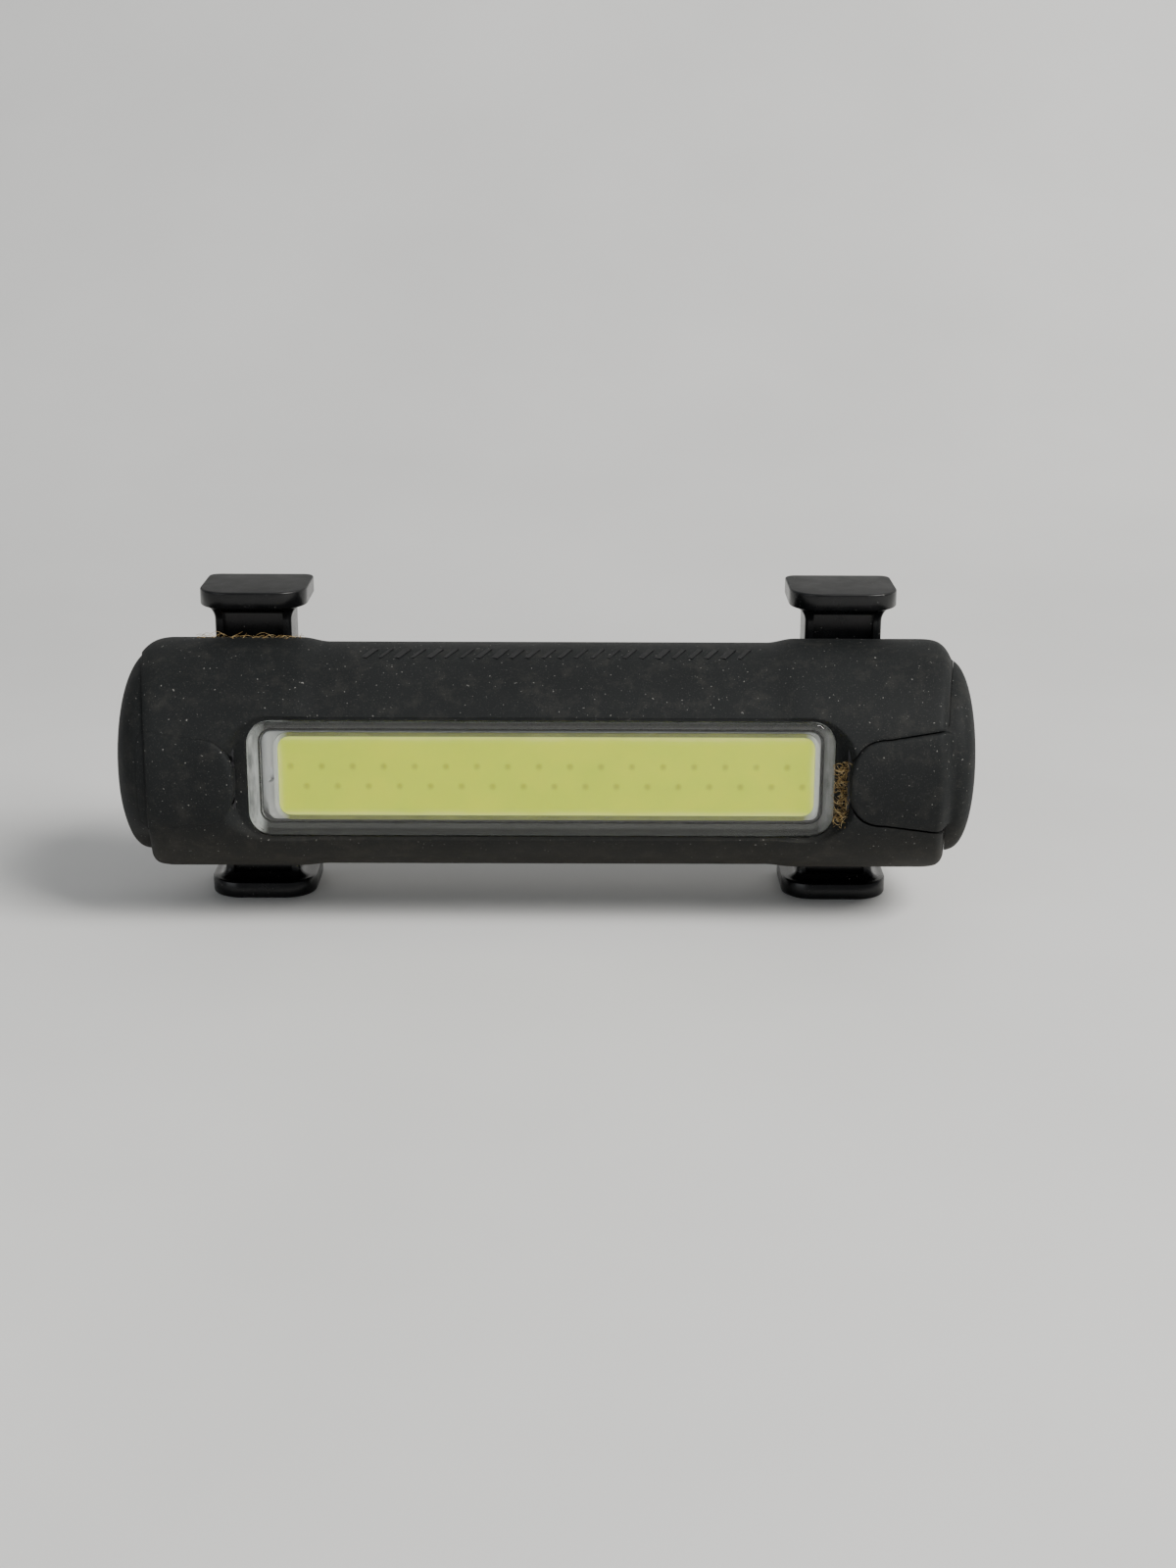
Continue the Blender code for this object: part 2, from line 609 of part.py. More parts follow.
def add_button(shop):
    """The power button: a rubber pad on a stub that presses the switch."""
    origin = (SWITCH_X, -STUB_FACE_DEPTH, 0.0)
    shape = button_outline(0.0, BODY_RADIUS + FAR, STUB_FACE_DEPTH - FAR / 4)
    button = shop.add("power_button", shape, "rubber", origin)
    keep(button, shop.add("button_outer", body_solid(-BUTTON_RISE, True)))
    cut(button, shop.add("button_inner", body_solid(BUTTON_WALL)))
    stub = cylinder_along_y(
        SWITCH_X, 0.0, BUTTON_STUB_RADIUS, -STUB_FACE_DEPTH, -BODY_RADIUS + BUTTON_WALL / 2
    )
    join(button, shop.add("button_stub", stub))


def add_port_cover(shop):
    """The port cover: the domed right end, a tongue on the front and a plug for the socket."""
    origin = (COVER_HINGE_X, COVER_HINGE_Y, 0.0)
    cover = shop.add("port_cover", cover_outline(0.0), "rubber", origin)
    join(cover, shop.add("cover_tongue", tongue_outline(0.0)))
    keep(cover, shop.add("cover_outer", body_solid(0.0, True)))
    cut(cover, shop.add("cover_inner", body_solid(SLEEVE_WALL)))
    half_width = USB_WIDTH / 2
    half_thickness = USB_THICKNESS / 2
    housing_tip = BODY_LENGTH / 2 - HOUSING_INSET
    low = (housing_tip - HOUSING_WALL - PLUG_DEPTH / 4, -USB_CENTRE_DEPTH - half_thickness, -half_width)
    high = (BODY_LENGTH / 2 - SLEEVE_WALL / 2, -USB_CENTRE_DEPTH + half_thickness, half_width)
    join(cover, shop.add("cover_plug", rounded_box(low, high, 1.3 * MM, 0)))


# ---- the housing --------------------------------------------------------------------------------
def add_housing(shop):
    """The hard housing in two halves, with the seal between them."""
    seat_inner = SEAT_HALF_LENGTH - HOUSING_WALL
    halves = (("front_housing", -1), ("rear_housing", 1))
    for name, side in halves:
        shell = shop.add(name, body_solid(HOUSING_INSET), "inner_plastic")
        cut(shell, shop.add(name + "_seat", seat_block(0.0)))
        core = shop.add(name + "_core", body_solid(CAVITY_INSET))
        low = (LENS_X - seat_inner, -FAR * 2, -FAR)
        block = box(low, (LENS_X + seat_inner, -SEAT_INNER_DEPTH, FAR))
        cut(core, shop.add(name + "_core_seat", block))
        cut(shell, core)
        edge = SEAL_THICKNESS / 2 + SKIN_CLEARANCE
        reach = BODY_LENGTH
        if side < 0:
            half = box((-reach, -edge, -reach), (reach, reach, reach))
        else:
            half = box((-reach, -reach, -reach), (reach, edge, reach))
        cut(shell, shop.add(name + "_other_half", half))
        if side < 0:
            finish_front_housing(shop, shell)
        else:
            finish_rear_housing(shop, shell)
    seal = shop.add("housing_seal", seal_solid(HOUSING_INSET + 0.25 * MM), "grey_pad")
    cut(seal, shop.add("seal_inside", seal_solid(CAVITY_INSET - 0.25 * MM, 2.0)))


def seal_solid(inset, thickness_share=1.0):
    """A slice of the body at the plane where the housing's halves meet."""
    thickness = SEAL_THICKNESS * thickness_share
    half = BODY_LENGTH / 2 - inset
    up = BODY_RADIUS - inset
    round_start = half - END_ROUND_LENGTH
    points = []
    for side_x, side_z in ((1, 1), (-1, 1), (-1, -1), (1, -1)):
        corner = []
        for t, scale in end_profile():
            corner.append((side_x * (round_start + END_ROUND_LENGTH * t), side_z * up * scale))
        if side_x * side_z > 0:
            corner.reverse()
        points.extend(corner)
    slab = prism_along_z(points, -thickness / 2, thickness / 2)
    turn = Matrix.Rotation(math.radians(90), 3, "X")
    bmesh.ops.rotate(slab, cent=(0, 0, 0), matrix=turn, verts=slab.verts)
    return slab


def finish_front_housing(shop, shell):
    """Open the window, the button's well and the port, and add the pillars."""
    cut(shell, shop.add("housing_window", lens_cavity(FAR, SEAT_INNER_DEPTH - 1.0 * MM)))
    well = shop.add("button_well", button_outline(MOVING_CLEARANCE, BODY_RADIUS + FAR, BODY_RADIUS / 3))
    floor_inset = BUTTON_WALL + BUTTON_TRAVEL + MOVING_CLEARANCE
    cut(well, shop.add("button_well_floor", body_solid(floor_inset)))
    cut(shell, well)
    stub_hole = cylinder_along_y(
        SWITCH_X, 0.0, BUTTON_STUB_RADIUS + MOVING_CLEARANCE, -BODY_RADIUS, -BODY_RADIUS / 2
    )
    cut(shell, shop.add("stub_hole", stub_hole))
    half_width = USB_WIDTH / 2 + PLUG_CLEARANCE
    half_thickness = USB_THICKNESS / 2 + PLUG_CLEARANCE
    low = (USB_MOUTH_X - USB_DEPTH, -USB_CENTRE_DEPTH - half_thickness, -half_width)
    high = (BODY_LENGTH / 2, -USB_CENTRE_DEPTH + half_thickness, half_width)
    cut(shell, shop.add("port_opening", rounded_box(low, high, 1.5 * MM, 0)))
    limit = shop.add("front_pillar_limit", body_solid(HOUSING_INSET + HOUSING_WALL / 3))
    for index, (x, z) in enumerate(housing_screw_places()):
        board_face = -BOARD_FRONT_DEPTH - SKIN_CLEARANCE
        pillar = cylinder_along_y(x, z, FRONT_PILLAR_RADIUS, -BODY_RADIUS, board_face)
        pillar = shop.add("front_pillar_%d" % index, pillar)
        keep(pillar, limit)
        join(shell, pillar)
    for index, (x, z) in enumerate(housing_screw_places()):
        hole = cylinder_along_y(
            x, z, HOUSING_SCREW_RADIUS + SKIN_CLEARANCE, -HOUSING_SCREW_END, 0.0
        )
        cut(shell, shop.add("front_screw_hole_%d" % index, hole))
    for index, (x, z) in enumerate(spreader_screw_places()):
        plate_face = -SPREADER_PLATE_DEPTH - SKIN_CLEARANCE
        pillar = cylinder_along_y(x, z, FRONT_PILLAR_RADIUS, -BODY_RADIUS, plate_face)
        pillar = shop.add("spreader_pillar_%d" % index, pillar)
        keep(pillar, limit)
        join(shell, pillar)
    for index, (x, z) in enumerate(spreader_screw_places()):
        hole = cylinder_along_y(
            x, z, SPREADER_SCREW_RADIUS + SKIN_CLEARANCE, -SPREADER_SCREW_END, 0.0
        )
        cut(shell, shop.add("spreader_screw_hole_%d" % index, hole))


def finish_rear_housing(shop, shell):
    """Add the screw pillars and open the posts' sockets and the screw holes."""
    limit = shop.add("rear_pillar_limit", body_solid(HOUSING_INSET + HOUSING_WALL / 3))
    for index, (x, z) in enumerate(housing_screw_places()):
        pillar = cylinder_along_y(x, z, REAR_PILLAR_RADIUS, -BOARD_BACK_DEPTH + SKIN_CLEARANCE, BACK_DEPTH)
        pillar = shop.add("rear_pillar_%d" % index, pillar)
        keep(pillar, limit)
        join(shell, pillar)
    for index, (x, z) in enumerate(housing_screw_places()):
        shaft = cylinder_along_y(x, z, HOUSING_SCREW_RADIUS + FIT_CLEARANCE, -BODY_RADIUS, BODY_RADIUS)
        bore = cylinder_along_y(x, z, HOUSING_SCREW_HEAD_RADIUS + FIT_CLEARANCE, HOUSING_SCREW_SEAT_Y, FAR)
        cut(shell, shop.add("rear_shaft_hole_%d" % index, shaft))
        cut(shell, shop.add("rear_head_hole_%d" % index, bore))
    for index, side in enumerate((-1, 1)):
        for level in (-1, 1):
            name = "housing_post_hole_%d_%d" % (index, level + 1)
            cut(shell, shop.add(name, stem_space(side, level, SKIN_CLEARANCE)))


def housing_screw_places():
    """The four housing screws, in X and Z."""
    return [(sx * HOUSING_SCREW_X, sz * HOUSING_SCREW_Z) for sx in (-1, 1) for sz in (-1, 1)]


def spreader_screw_places():
    """The four screws of the heat spreader, in X and Z."""
    return [(LENS_X + sx * SPREADER_SCREW_X, sz * SPREADER_SCREW_Z) for sx in (-1, 1) for sz in (-1, 1)]


# ---- strap posts and saddle pads ----------------------------------------------------------------
def stem_space(side, level, grow):
    """The space that a post's stem takes up, from its root outward."""
    x = side * POST_SPACING / 2
    low_z = min(level * (STEM_ROOT - 1.0 * MM), level * FAR)
    high_z = max(level * (STEM_ROOT - 1.0 * MM), level * FAR)
    low = (x - STEM_WIDTH / 2 - grow, STEM_FRONT - grow, low_z)
    high = (x + STEM_WIDTH / 2 + grow, STEM_FRONT + STEM_DEPTH + grow, high_z)
    return rounded_box(low, high, 0.6 * MM + grow, 2, 3)


def head_ring(half_width, front, back, front_corner, back_corner, z):
    """One level of a post: a rectangle with its front and back corners rounded differently."""
    points = []
    corners = (
        (half_width - back_corner, back - back_corner, back_corner),
        (-half_width + back_corner, back - back_corner, back_corner),
        (-half_width + front_corner, front + front_corner, front_corner),
        (half_width - front_corner, front + front_corner, front_corner),
    )
    for number, (cx, cy, corner) in enumerate(corners):
        for step in range(HEAD_CORNER_STEPS + 1):
            angle = math.radians(90 * number + 90 * step / HEAD_CORNER_STEPS)
            points.append((cx + corner * math.cos(angle), cy + corner * math.sin(angle), z))
    return points


def post_solid(side, level):
    """A T-shaped strap post: stem, flare and rounded head."""
    half_head = HEAD_WIDTH / 2
    back = HEAD_FRONT + HEAD_DEPTH
    head_low = POST_REACH - HEAD_THICKNESS
    stem = (STEM_WIDTH / 2, STEM_FRONT, STEM_FRONT + STEM_DEPTH, STEM_CORNER, STEM_CORNER)
    rings = [head_ring(*stem, STEM_ROOT), head_ring(*stem, head_low - FLARE_HEIGHT)]
    edge_levels = [(head_low, HEAD_EDGE_ROUND), (head_low + HEAD_EDGE_ROUND, 0.0)]
    for step in range(HEAD_EDGE_STEPS + 1):
        angle = math.radians(90 * step / HEAD_EDGE_STEPS)
        inset = HEAD_EDGE_ROUND * (1 - math.cos(angle))
        edge_levels.append((POST_REACH - HEAD_EDGE_ROUND + HEAD_EDGE_ROUND * math.sin(angle), inset))
    for z, inset in edge_levels:
        front_corner = HEAD_FRONT_CORNER - inset
        back_corner = HEAD_BACK_CORNER - inset
        half = half_head - inset
        rings.append(head_ring(half, HEAD_FRONT + inset, back - inset, front_corner, back_corner, z))
    mesh = loft(rings)
    if level < 0:
        bmesh.ops.scale(mesh, vec=(1, 1, -1), verts=mesh.verts)
        bmesh.ops.recalc_face_normals(mesh, faces=mesh.faces)
    bmesh.ops.translate(mesh, vec=(side * POST_SPACING / 2, 0, 0), verts=mesh.verts)
    return mesh


def add_posts(shop):
    """The four strap posts."""
    for side, side_name in ((-1, "left"), (1, "right")):
        for level, level_name in ((1, "upper"), (-1, "lower")):
            name = "strap_post_%s_%s" % (level_name, side_name)
            post = shop.add(name, post_solid(side, level), "gloss_black")
            x = side * POST_SPACING / 2
            z_near = level * (BODY_RADIUS - 1.5 * MM)
            z_far = level * (POST_REACH - HEAD_THICKNESS - FLARE_HEIGHT / 2)
            low = (x - CORE_WIDTH / 2, STEM_FRONT - 3.0 * MM, min(z_near, z_far))
            high = (x + CORE_WIDTH / 2, STEM_FRONT + CORE_DEPTH, max(z_near, z_far))
            cut(post, shop.add(name + "_core", rounded_box(low, high, 0.5 * MM, 1, 3)))


def pad_space(side, grow):
    """The opening in the sleeve's back for a saddle pad."""
    x = side * PAD_CENTRE
    up = PAD_HEIGHT / 2 + grow
    low = (x - PAD_LENGTH / 2 - grow, BACK_DEPTH - SLEEVE_WALL - FIT_CLEARANCE, -up)
    high = (x + PAD_LENGTH / 2 + grow, BACK_DEPTH + FAR, up)
    return rounded_box(low, high, 1.5 * MM + grow, 1)


def add_pads(shop):
    """The two saddle pads on the back, each with a V-shaped groove for a bar."""
    for side, side_name in ((-1, "left"), (1, "right")):
        x = side * PAD_CENTRE
        base = BACK_DEPTH - HOUSING_INSET + SKIN_CLEARANCE
        low = (x - PAD_LENGTH / 2, base, -PAD_HEIGHT / 2)
        high = (x + PAD_LENGTH / 2, SADDLE_PLANE, PAD_HEIGHT / 2)
        name = "saddle_pad_" + side_name
        pad = shop.add(name, rounded_box(low, high, 1.5 * MM, 1), "rubber")
        half = PAD_GROOVE_HEIGHT / 2
        slope = PAD_GROOVE_DEPTH / half
        over = 1.0 * MM
        points = (
            (0.0, SADDLE_PLANE - PAD_GROOVE_DEPTH),
            (half + over / slope, SADDLE_PLANE + over),
            (-half - over / slope, SADDLE_PLANE + over),
        )
        groove = prism_along_z(points, -PAD_LENGTH, PAD_LENGTH)
        turn = Matrix.Rotation(math.radians(90), 3, "Y")
        bmesh.ops.rotate(groove, cent=(0, 0, 0), matrix=turn, verts=groove.verts)
        bmesh.ops.translate(groove, vec=(x, 0, 0), verts=groove.verts)
        cut(pad, shop.add(name + "_groove", groove))


# ---- lens and led strip -------------------------------------------------------------------------
def add_lens(shop):
    """The clear lens, a shallow cup with its mouth to the back, and its gasket."""
    lens = shop.add("lens", lens_outline(0.0, LENS_FACE_DEPTH, LENS_SKIRT_END), "clear_plastic")
    cut(lens, shop.add("lens_cavity", lens_cavity(LENS_FACE_DEPTH - LENS_PLATE, 0.0)))
    front = LENS_SKIRT_END - SKIN_CLEARANCE
    back = LENS_SEAT_DEPTH + SKIN_CLEARANCE
    gasket = shop.add("lens_gasket", lens_outline(0.0, front, back), "grey_pad")
    cut(gasket, shop.add("gasket_inside", lens_cavity(FAR, 0.0)))


def add_led_strip(shop):
    """The phosphor, its dam, the chips and the board that carries them."""
    half = PHOSPHOR_LENGTH / 2
    up = PHOSPHOR_HEIGHT / 2
    back = PHOSPHOR_FACE_DEPTH - PHOSPHOR_THICKNESS
    corner = 1.2 * MM
    low = (-half, -PHOSPHOR_FACE_DEPTH, -up)
    high = (half, -back, up)
    shop.add("cob_phosphor", rounded_box(low, high, corner, 1), "phosphor")
    grow = DAM_WIDTH + SKIN_CLEARANCE
    board_face = LED_BOARD_FACE_DEPTH
    low = (-half - grow, -PHOSPHOR_FACE_DEPTH - 0.05 * MM, -up - grow)
    high = (half + grow, -board_face - SKIN_CLEARANCE, up + grow)
    dam = shop.add("cob_dam", rounded_box(low, high, corner + grow, 1), "white_silicone")
    inner = SKIN_CLEARANCE
    low = (-half - inner, -FAR, -up - inner)
    high = (half + inner, 0.0, up + inner)
    cut(dam, shop.add("dam_inside", rounded_box(low, high, corner + inner, 1)))
    chips = []
    for row in range(CHIP_ROWS):
        z = (row - (CHIP_ROWS - 1) / 2) * CHIP_ROW_GAP
        shift = (row - (CHIP_ROWS - 1) / 2) * CHIP_PITCH / 2
        for number in range(CHIPS_PER_ROW):
            x = (number - (CHIPS_PER_ROW - 1) / 2) * CHIP_PITCH + shift
            low = (x - CHIP_SIZE / 2, -CHIP_FACE_DEPTH, z - CHIP_SIZE / 2)
            high = (x + CHIP_SIZE / 2, -CHIP_FACE_DEPTH + CHIP_THICKNESS, z + CHIP_SIZE / 2)
            chips.append(box(low, high))
    reach_x = PHOSPHOR_LENGTH / 2 - FIT_CLEARANCE
    reach_z = ((CHIP_ROWS - 1) * CHIP_ROW_GAP + CHIP_SIZE) / 2
    low = (-reach_x, -CHIP_FACE_DEPTH + CHIP_THICKNESS / 2, -reach_z)
    high = (reach_x, -CHIP_FACE_DEPTH + CHIP_THICKNESS, reach_z)
    strip = shop.add("led_chips", box(low, high), "chip")
    join(strip, shop.add("chip_blocks", merge(*chips)))
    half = LED_BOARD_LENGTH / 2
    low = (LED_BOARD_X - half, -LED_BOARD_FACE_DEPTH, -LED_BOARD_HEIGHT / 2)
    high = (LED_BOARD_X + half, -LED_BOARD_FACE_DEPTH + LED_BOARD_THICKNESS, LED_BOARD_HEIGHT / 2)
    board = shop.add("led_board", rounded_box(low, high, 0.8 * MM, 1), "white_mask")
    for index, side in enumerate((-1, 1)):
        notch = cylinder_along_y(LED_BOARD_X + side * half, 0.0, BOARD_NOTCH_RADIUS, -FAR, 0.0)
        cut(board, shop.add("led_board_notch_%d" % index, notch))


def add_heat_spreader(shop):
    """The aluminium spreader behind the led board, its thermal pad and its screws."""
    wire_x, wire_z = LED_LEAD_PLACE
    lead_hole = rounded_box(
        (wire_x - 1.0 * MM, -FAR, -wire_z - 1.0 * MM),
        (wire_x + 1.0 * MM, 0.0, wire_z + 1.0 * MM),
        0.9 * MM, 1, 4,
    )
    lead_hole = shop.add("lead_hole", lead_hole)
    half = LED_BOARD_LENGTH / 2 - BOARD_NOTCH_RADIUS
    up = LED_BOARD_HEIGHT / 2
    low = (LED_BOARD_X - half, -THERMAL_PAD_FACE_DEPTH, -up)
    high = (LED_BOARD_X + half, -THERMAL_PAD_FACE_DEPTH + THERMAL_PAD_THICKNESS, up)
    pad = shop.add("thermal_pad", box(low, high), "grey_pad")
    cut(pad, lead_hole)
    plate_x = SPREADER_SCREW_X + 1.6 * MM
    plate_z = min(LENS_CAVITY_HEIGHT / 2 + 0.9 * MM, SPREADER_SCREW_Z + 2.8 * MM)
    low = (LENS_X - plate_x, -SPREADER_PLATE_DEPTH, -plate_z)
    high = (LENS_X + plate_x, -SPREADER_BACK_DEPTH, plate_z)
    spreader = shop.add("heat_spreader", rounded_box(low, high, 1.5 * MM, 1), "aluminium")
    low = (LED_BOARD_X - half, -SPREADER_FACE_DEPTH, -up)
    high = (LED_BOARD_X + half, -SPREADER_PLATE_DEPTH + SPREADER_PLATE / 2, up)
    join(spreader, shop.add("spreader_boss", box(low, high)))
    cut(spreader, lead_hole)
    tip = -SPREADER_SCREW_END + 0.2 * MM
    seat = -SPREADER_BACK_DEPTH + SKIN_CLEARANCE
    for index, (x, z) in enumerate(spreader_screw_places()):
        hole = cylinder_along_y(x, z, SPREADER_SCREW_RADIUS + FIT_CLEARANCE, -FAR, 0.0)
        cut(spreader, shop.add("spreader_hole_%d" % index, hole))
        body = screw(x, z, SPREADER_SCREW_RADIUS, SPREADER_SCREW_HEAD_RADIUS, tip, seat, 0.7 * MM)
        shop.add("spreader_screw_%d" % (index + 1), body, "steel")


def screw(x, z, radius, head_radius, y_tip, y_seat, head):
    """A pan-head screw along Y as a turned solid, its head to the back."""
    profile = (
        (0.0, y_tip), (radius * 0.6, y_tip), (radius, y_tip + radius), (radius, y_seat),
        (head_radius, y_seat),
        (head_radius, y_seat + head * 0.6),
        (head_radius * 0.7, y_seat + head),
        (0.0, y_seat + head),
    )
    mesh = bmesh.new()
    verts = [mesh.verts.new((r, y, 0.0)) for r, y in profile]
    edges = [mesh.edges.new(pair) for pair in zip(verts, verts[1:])]
    full_turn = math.radians(360)
    bmesh.ops.spin(mesh, geom=verts + edges, cent=(0, 0, 0), axis=(0, 1, 0), angle=full_turn, steps=16)
    bmesh.ops.remove_doubles(mesh, verts=mesh.verts, dist=0.001 * MM)
    bmesh.ops.recalc_face_normals(mesh, faces=mesh.faces)
    bmesh.ops.translate(mesh, vec=(x, 0, z), verts=mesh.verts)
    return mesh


# ---- electronics --------------------------------------------------------------------------------
def on_front(x, z, size_x, size_z, height):
    """The corners of a component on the main board's front face."""
    near = BOARD_FRONT_DEPTH + SKIN_CLEARANCE
    low = (x - size_x / 2, -near - height, z - size_z / 2)
    high = (x + size_x / 2, -near, z + size_z / 2)
    return low, high


def on_back(x, z, size_x, size_z, height):
    """The corners of a component on the main board's back face."""
    near = BOARD_BACK_DEPTH - SKIN_CLEARANCE
    low = (x - size_x / 2, -near, z - size_z / 2)
    high = (x + size_x / 2, -near + height, z + size_z / 2)
    return low, high


def add_main_board(shop):
    """The main circuit board with the parts soldered to it."""
    low = (-BOARD_HALF_LENGTH, -BOARD_FRONT_DEPTH, -BOARD_HEIGHT / 2)
    high = (BOARD_HALF_LENGTH, -BOARD_BACK_DEPTH, BOARD_HEIGHT / 2)
    board = shop.add("main_board", rounded_box(low, high, 1.5 * MM, 1), "green_mask")
    for index, (x, z) in enumerate(housing_screw_places()):
        hole = cylinder_along_y(x, z, HOUSING_SCREW_RADIUS + FIT_CLEARANCE, -FAR, 0.0)
        cut(board, shop.add("board_hole_%d" % index, hole))
    driver = on_back(-30.0 * MM, 0.0, 4.0 * MM, 4.0 * MM, 0.9 * MM)
    shop.add("driver_ic", soft_box(*driver, 0.1 * MM), "epoxy_black")
    charger = on_back(30.5 * MM, 0.0, 3.0 * MM, 3.0 * MM, 0.8 * MM)
    shop.add("charger_ic", soft_box(*charger, 0.1 * MM), "epoxy_black")
    coil = on_front(12.0 * MM, 0.0, 5.0 * MM, 5.0 * MM, 2.0 * MM)
    shop.add("power_inductor", soft_box(*coil, 0.4 * MM), "ferrite")
    for name, x in (("input_capacitor", 5.0 * MM), ("output_capacitor", 19.0 * MM)):
        body = on_front(x, 0.0, 2.0 * MM, 1.25 * MM, 1.2 * MM)
        shop.add(name, soft_box(*body, 0.12 * MM), "ceramic")
    for name, x in (("sense_resistor", -4.0 * MM), ("charge_resistor", 24.0 * MM)):
        body = on_front(x, 0.0, 1.6 * MM, 0.8 * MM, 0.45 * MM)
        shop.add(name, soft_box(*body, 0.05 * MM), "epoxy_black")
    status = soft_box(*on_front(SWITCH_X + 6.5 * MM, 0.0, 1.6 * MM, 0.8 * MM, 0.7 * MM), 0.1 * MM)
    shop.add("status_led", status, "lamp_white")


def add_usb_socket(shop):
    """The charging socket on the main board, its metal shell and its inner tongue."""
    half_width = USB_WIDTH / 2
    half_thickness = USB_THICKNESS / 2
    back_x = USB_MOUTH_X - USB_DEPTH
    low = (back_x, -USB_CENTRE_DEPTH - half_thickness, -half_width)
    high = (USB_MOUTH_X, -USB_CENTRE_DEPTH + half_thickness, half_width)
    shell = shop.add("usb_socket", rounded_box(low, high, 1.3 * MM, 0), "steel")
    wall = USB_SHELL_WALL
    low = (back_x + 1.0 * MM, -USB_CENTRE_DEPTH - half_thickness + wall, -half_width + wall)
    high = (USB_MOUTH_X + FAR, -USB_CENTRE_DEPTH + half_thickness - wall, half_width - wall)
    cut(shell, shop.add("usb_mouth", rounded_box(low, high, 1.3 * MM - wall, 0)))
    low = (
        back_x + 1.0 * MM + SKIN_CLEARANCE,
        -USB_CENTRE_DEPTH - USB_TONGUE_THICKNESS / 2,
        -USB_TONGUE_WIDTH / 2,
    )
    high = (
        USB_MOUTH_X - 0.8 * MM,
        -USB_CENTRE_DEPTH + USB_TONGUE_THICKNESS / 2,
        USB_TONGUE_WIDTH / 2,
    )
    shop.add("usb_tongue", soft_box(low, high, 0.12 * MM), "epoxy_black")


def add_switch(shop):
    """The tact switch under the power button and its plunger."""
    body = on_front(SWITCH_X, 0.0, SWITCH_SIZE, SWITCH_SIZE, SWITCH_HEIGHT)
    switch = shop.add("tact_switch", soft_box(*body, 0.2 * MM), "epoxy_black")
    well_depth = 1.2 * MM
    well = cylinder_along_y(
        SWITCH_X, 0.0, SWITCH_PLUNGER_RADIUS + FIT_CLEARANCE,
        -SWITCH_FACE_DEPTH - FAR, -SWITCH_FACE_DEPTH + well_depth,
    )
    cut(switch, shop.add("switch_well", well))
    end = -SWITCH_FACE_DEPTH + well_depth - SWITCH_TRAVEL - FIT_CLEARANCE
    plunger = cylinder_along_y(SWITCH_X, 0.0, SWITCH_PLUNGER_RADIUS, -PLUNGER_FACE_DEPTH, end)
    shop.add("switch_plunger", plunger, "white_silicone", (SWITCH_X, -PLUNGER_FACE_DEPTH, 0.0))


def add_battery(shop):
    """The pouch cell with its protection board, foam and leads, and the led strip's leads."""
    half = BATTERY_LENGTH / 2
    up = BATTERY_HEIGHT / 2
    back_y = BATTERY_FRONT_Y + BATTERY_THICKNESS
    low = (-half, BATTERY_FRONT_Y, -up)
    high = (half, back_y, up)
    shop.add("battery_cell", soft_box(low, high, 0.9 * MM, 3), "pouch")
    gap = SKIN_CLEARANCE
    low = (half + gap, BATTERY_FRONT_Y + 0.5 * MM, -up + 1.0 * MM)
    high = (half + gap + 0.8 * MM, back_y - 1.0 * MM, up - 1.0 * MM)
    shop.add("battery_protection_board", soft_box(low, high, 0.1 * MM), "green_mask")
    low = (-half + 4.0 * MM, back_y + gap, -up + 2.0 * MM)
    high = (half - 4.0 * MM, BACK_DEPTH - CAVITY_INSET - gap, up - 2.0 * MM)
    shop.add("battery_foam", soft_box(low, high, 0.3 * MM), "foam")
    start_x = half + gap + 0.8 * MM + 2 * MOVING_CLEARANCE
    board_y = -BOARD_BACK_DEPTH + gap * 2
    for name, material, z in (
        ("battery_lead_red", "red_wire", 2.6 * MM), ("battery_lead_black", "black_wire", -2.6 * MM)
    ):
        wire(name, shop, material, (
            (start_x, 4.2 * MM, z), (start_x + 1.4 * MM, 3.8 * MM, z), (start_x + 2.0 * MM, 1.4 * MM, z),
            (start_x + 1.4 * MM, board_y + 0.9 * MM, z), (start_x + 1.3 * MM, board_y, z),
        ))
    lead_x, lead_z = LED_LEAD_PLACE
    led_back = -LED_BOARD_FACE_DEPTH + LED_BOARD_THICKNESS + gap * 2
    leads = (("led_lead_red", "red_wire", lead_z), ("led_lead_black", "black_wire", -lead_z))
    for name, material, z in leads:
        wire(name, shop, material, (
            (lead_x, led_back, z), (lead_x, -SPREADER_BACK_DEPTH + 0.3 * MM, z),
            (lead_x + 0.4 * MM, -BOARD_FRONT_DEPTH - 1.0 * MM, z),
            (lead_x + 0.4 * MM, -BOARD_FRONT_DEPTH - gap * 2, z),
        ))


def add_housing_screws(shop):
    """The four screws that hold the housing's halves together."""
    tip = -HOUSING_SCREW_END + 0.3 * MM
    seat = HOUSING_SCREW_SEAT_Y + SKIN_CLEARANCE
    for index, (x, z) in enumerate(housing_screw_places()):
        body = screw(x, z, HOUSING_SCREW_RADIUS, HOUSING_SCREW_HEAD_RADIUS, tip, seat, HOUSING_SCREW_HEAD)
        shop.add("housing_screw_%d" % (index + 1), body, "steel")


def main():
    """Build the whole lamp."""
    clear_scene()
    shop = Workshop()
    add_sleeve(shop)
    add_button(shop)
    add_port_cover(shop)
    add_housing(shop)
    add_posts(shop)
    add_pads(shop)
    add_lens(shop)
    add_led_strip(shop)
    add_heat_spreader(shop)
    add_main_board(shop)
    add_usb_socket(shop)
    add_switch(shop)
    add_battery(shop)
    add_housing_screws(shop)


main()
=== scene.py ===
"""Looks of a led light bar for a cycle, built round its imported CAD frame.

The lamp is a rubber-sleeved tube with a lens let into its front, four strap posts
and a cover over the port at its right end. Lengths are in metres.
"""

import json
import math

import bmesh
import bpy
import numpy as np
from mathutils import Matrix, Vector

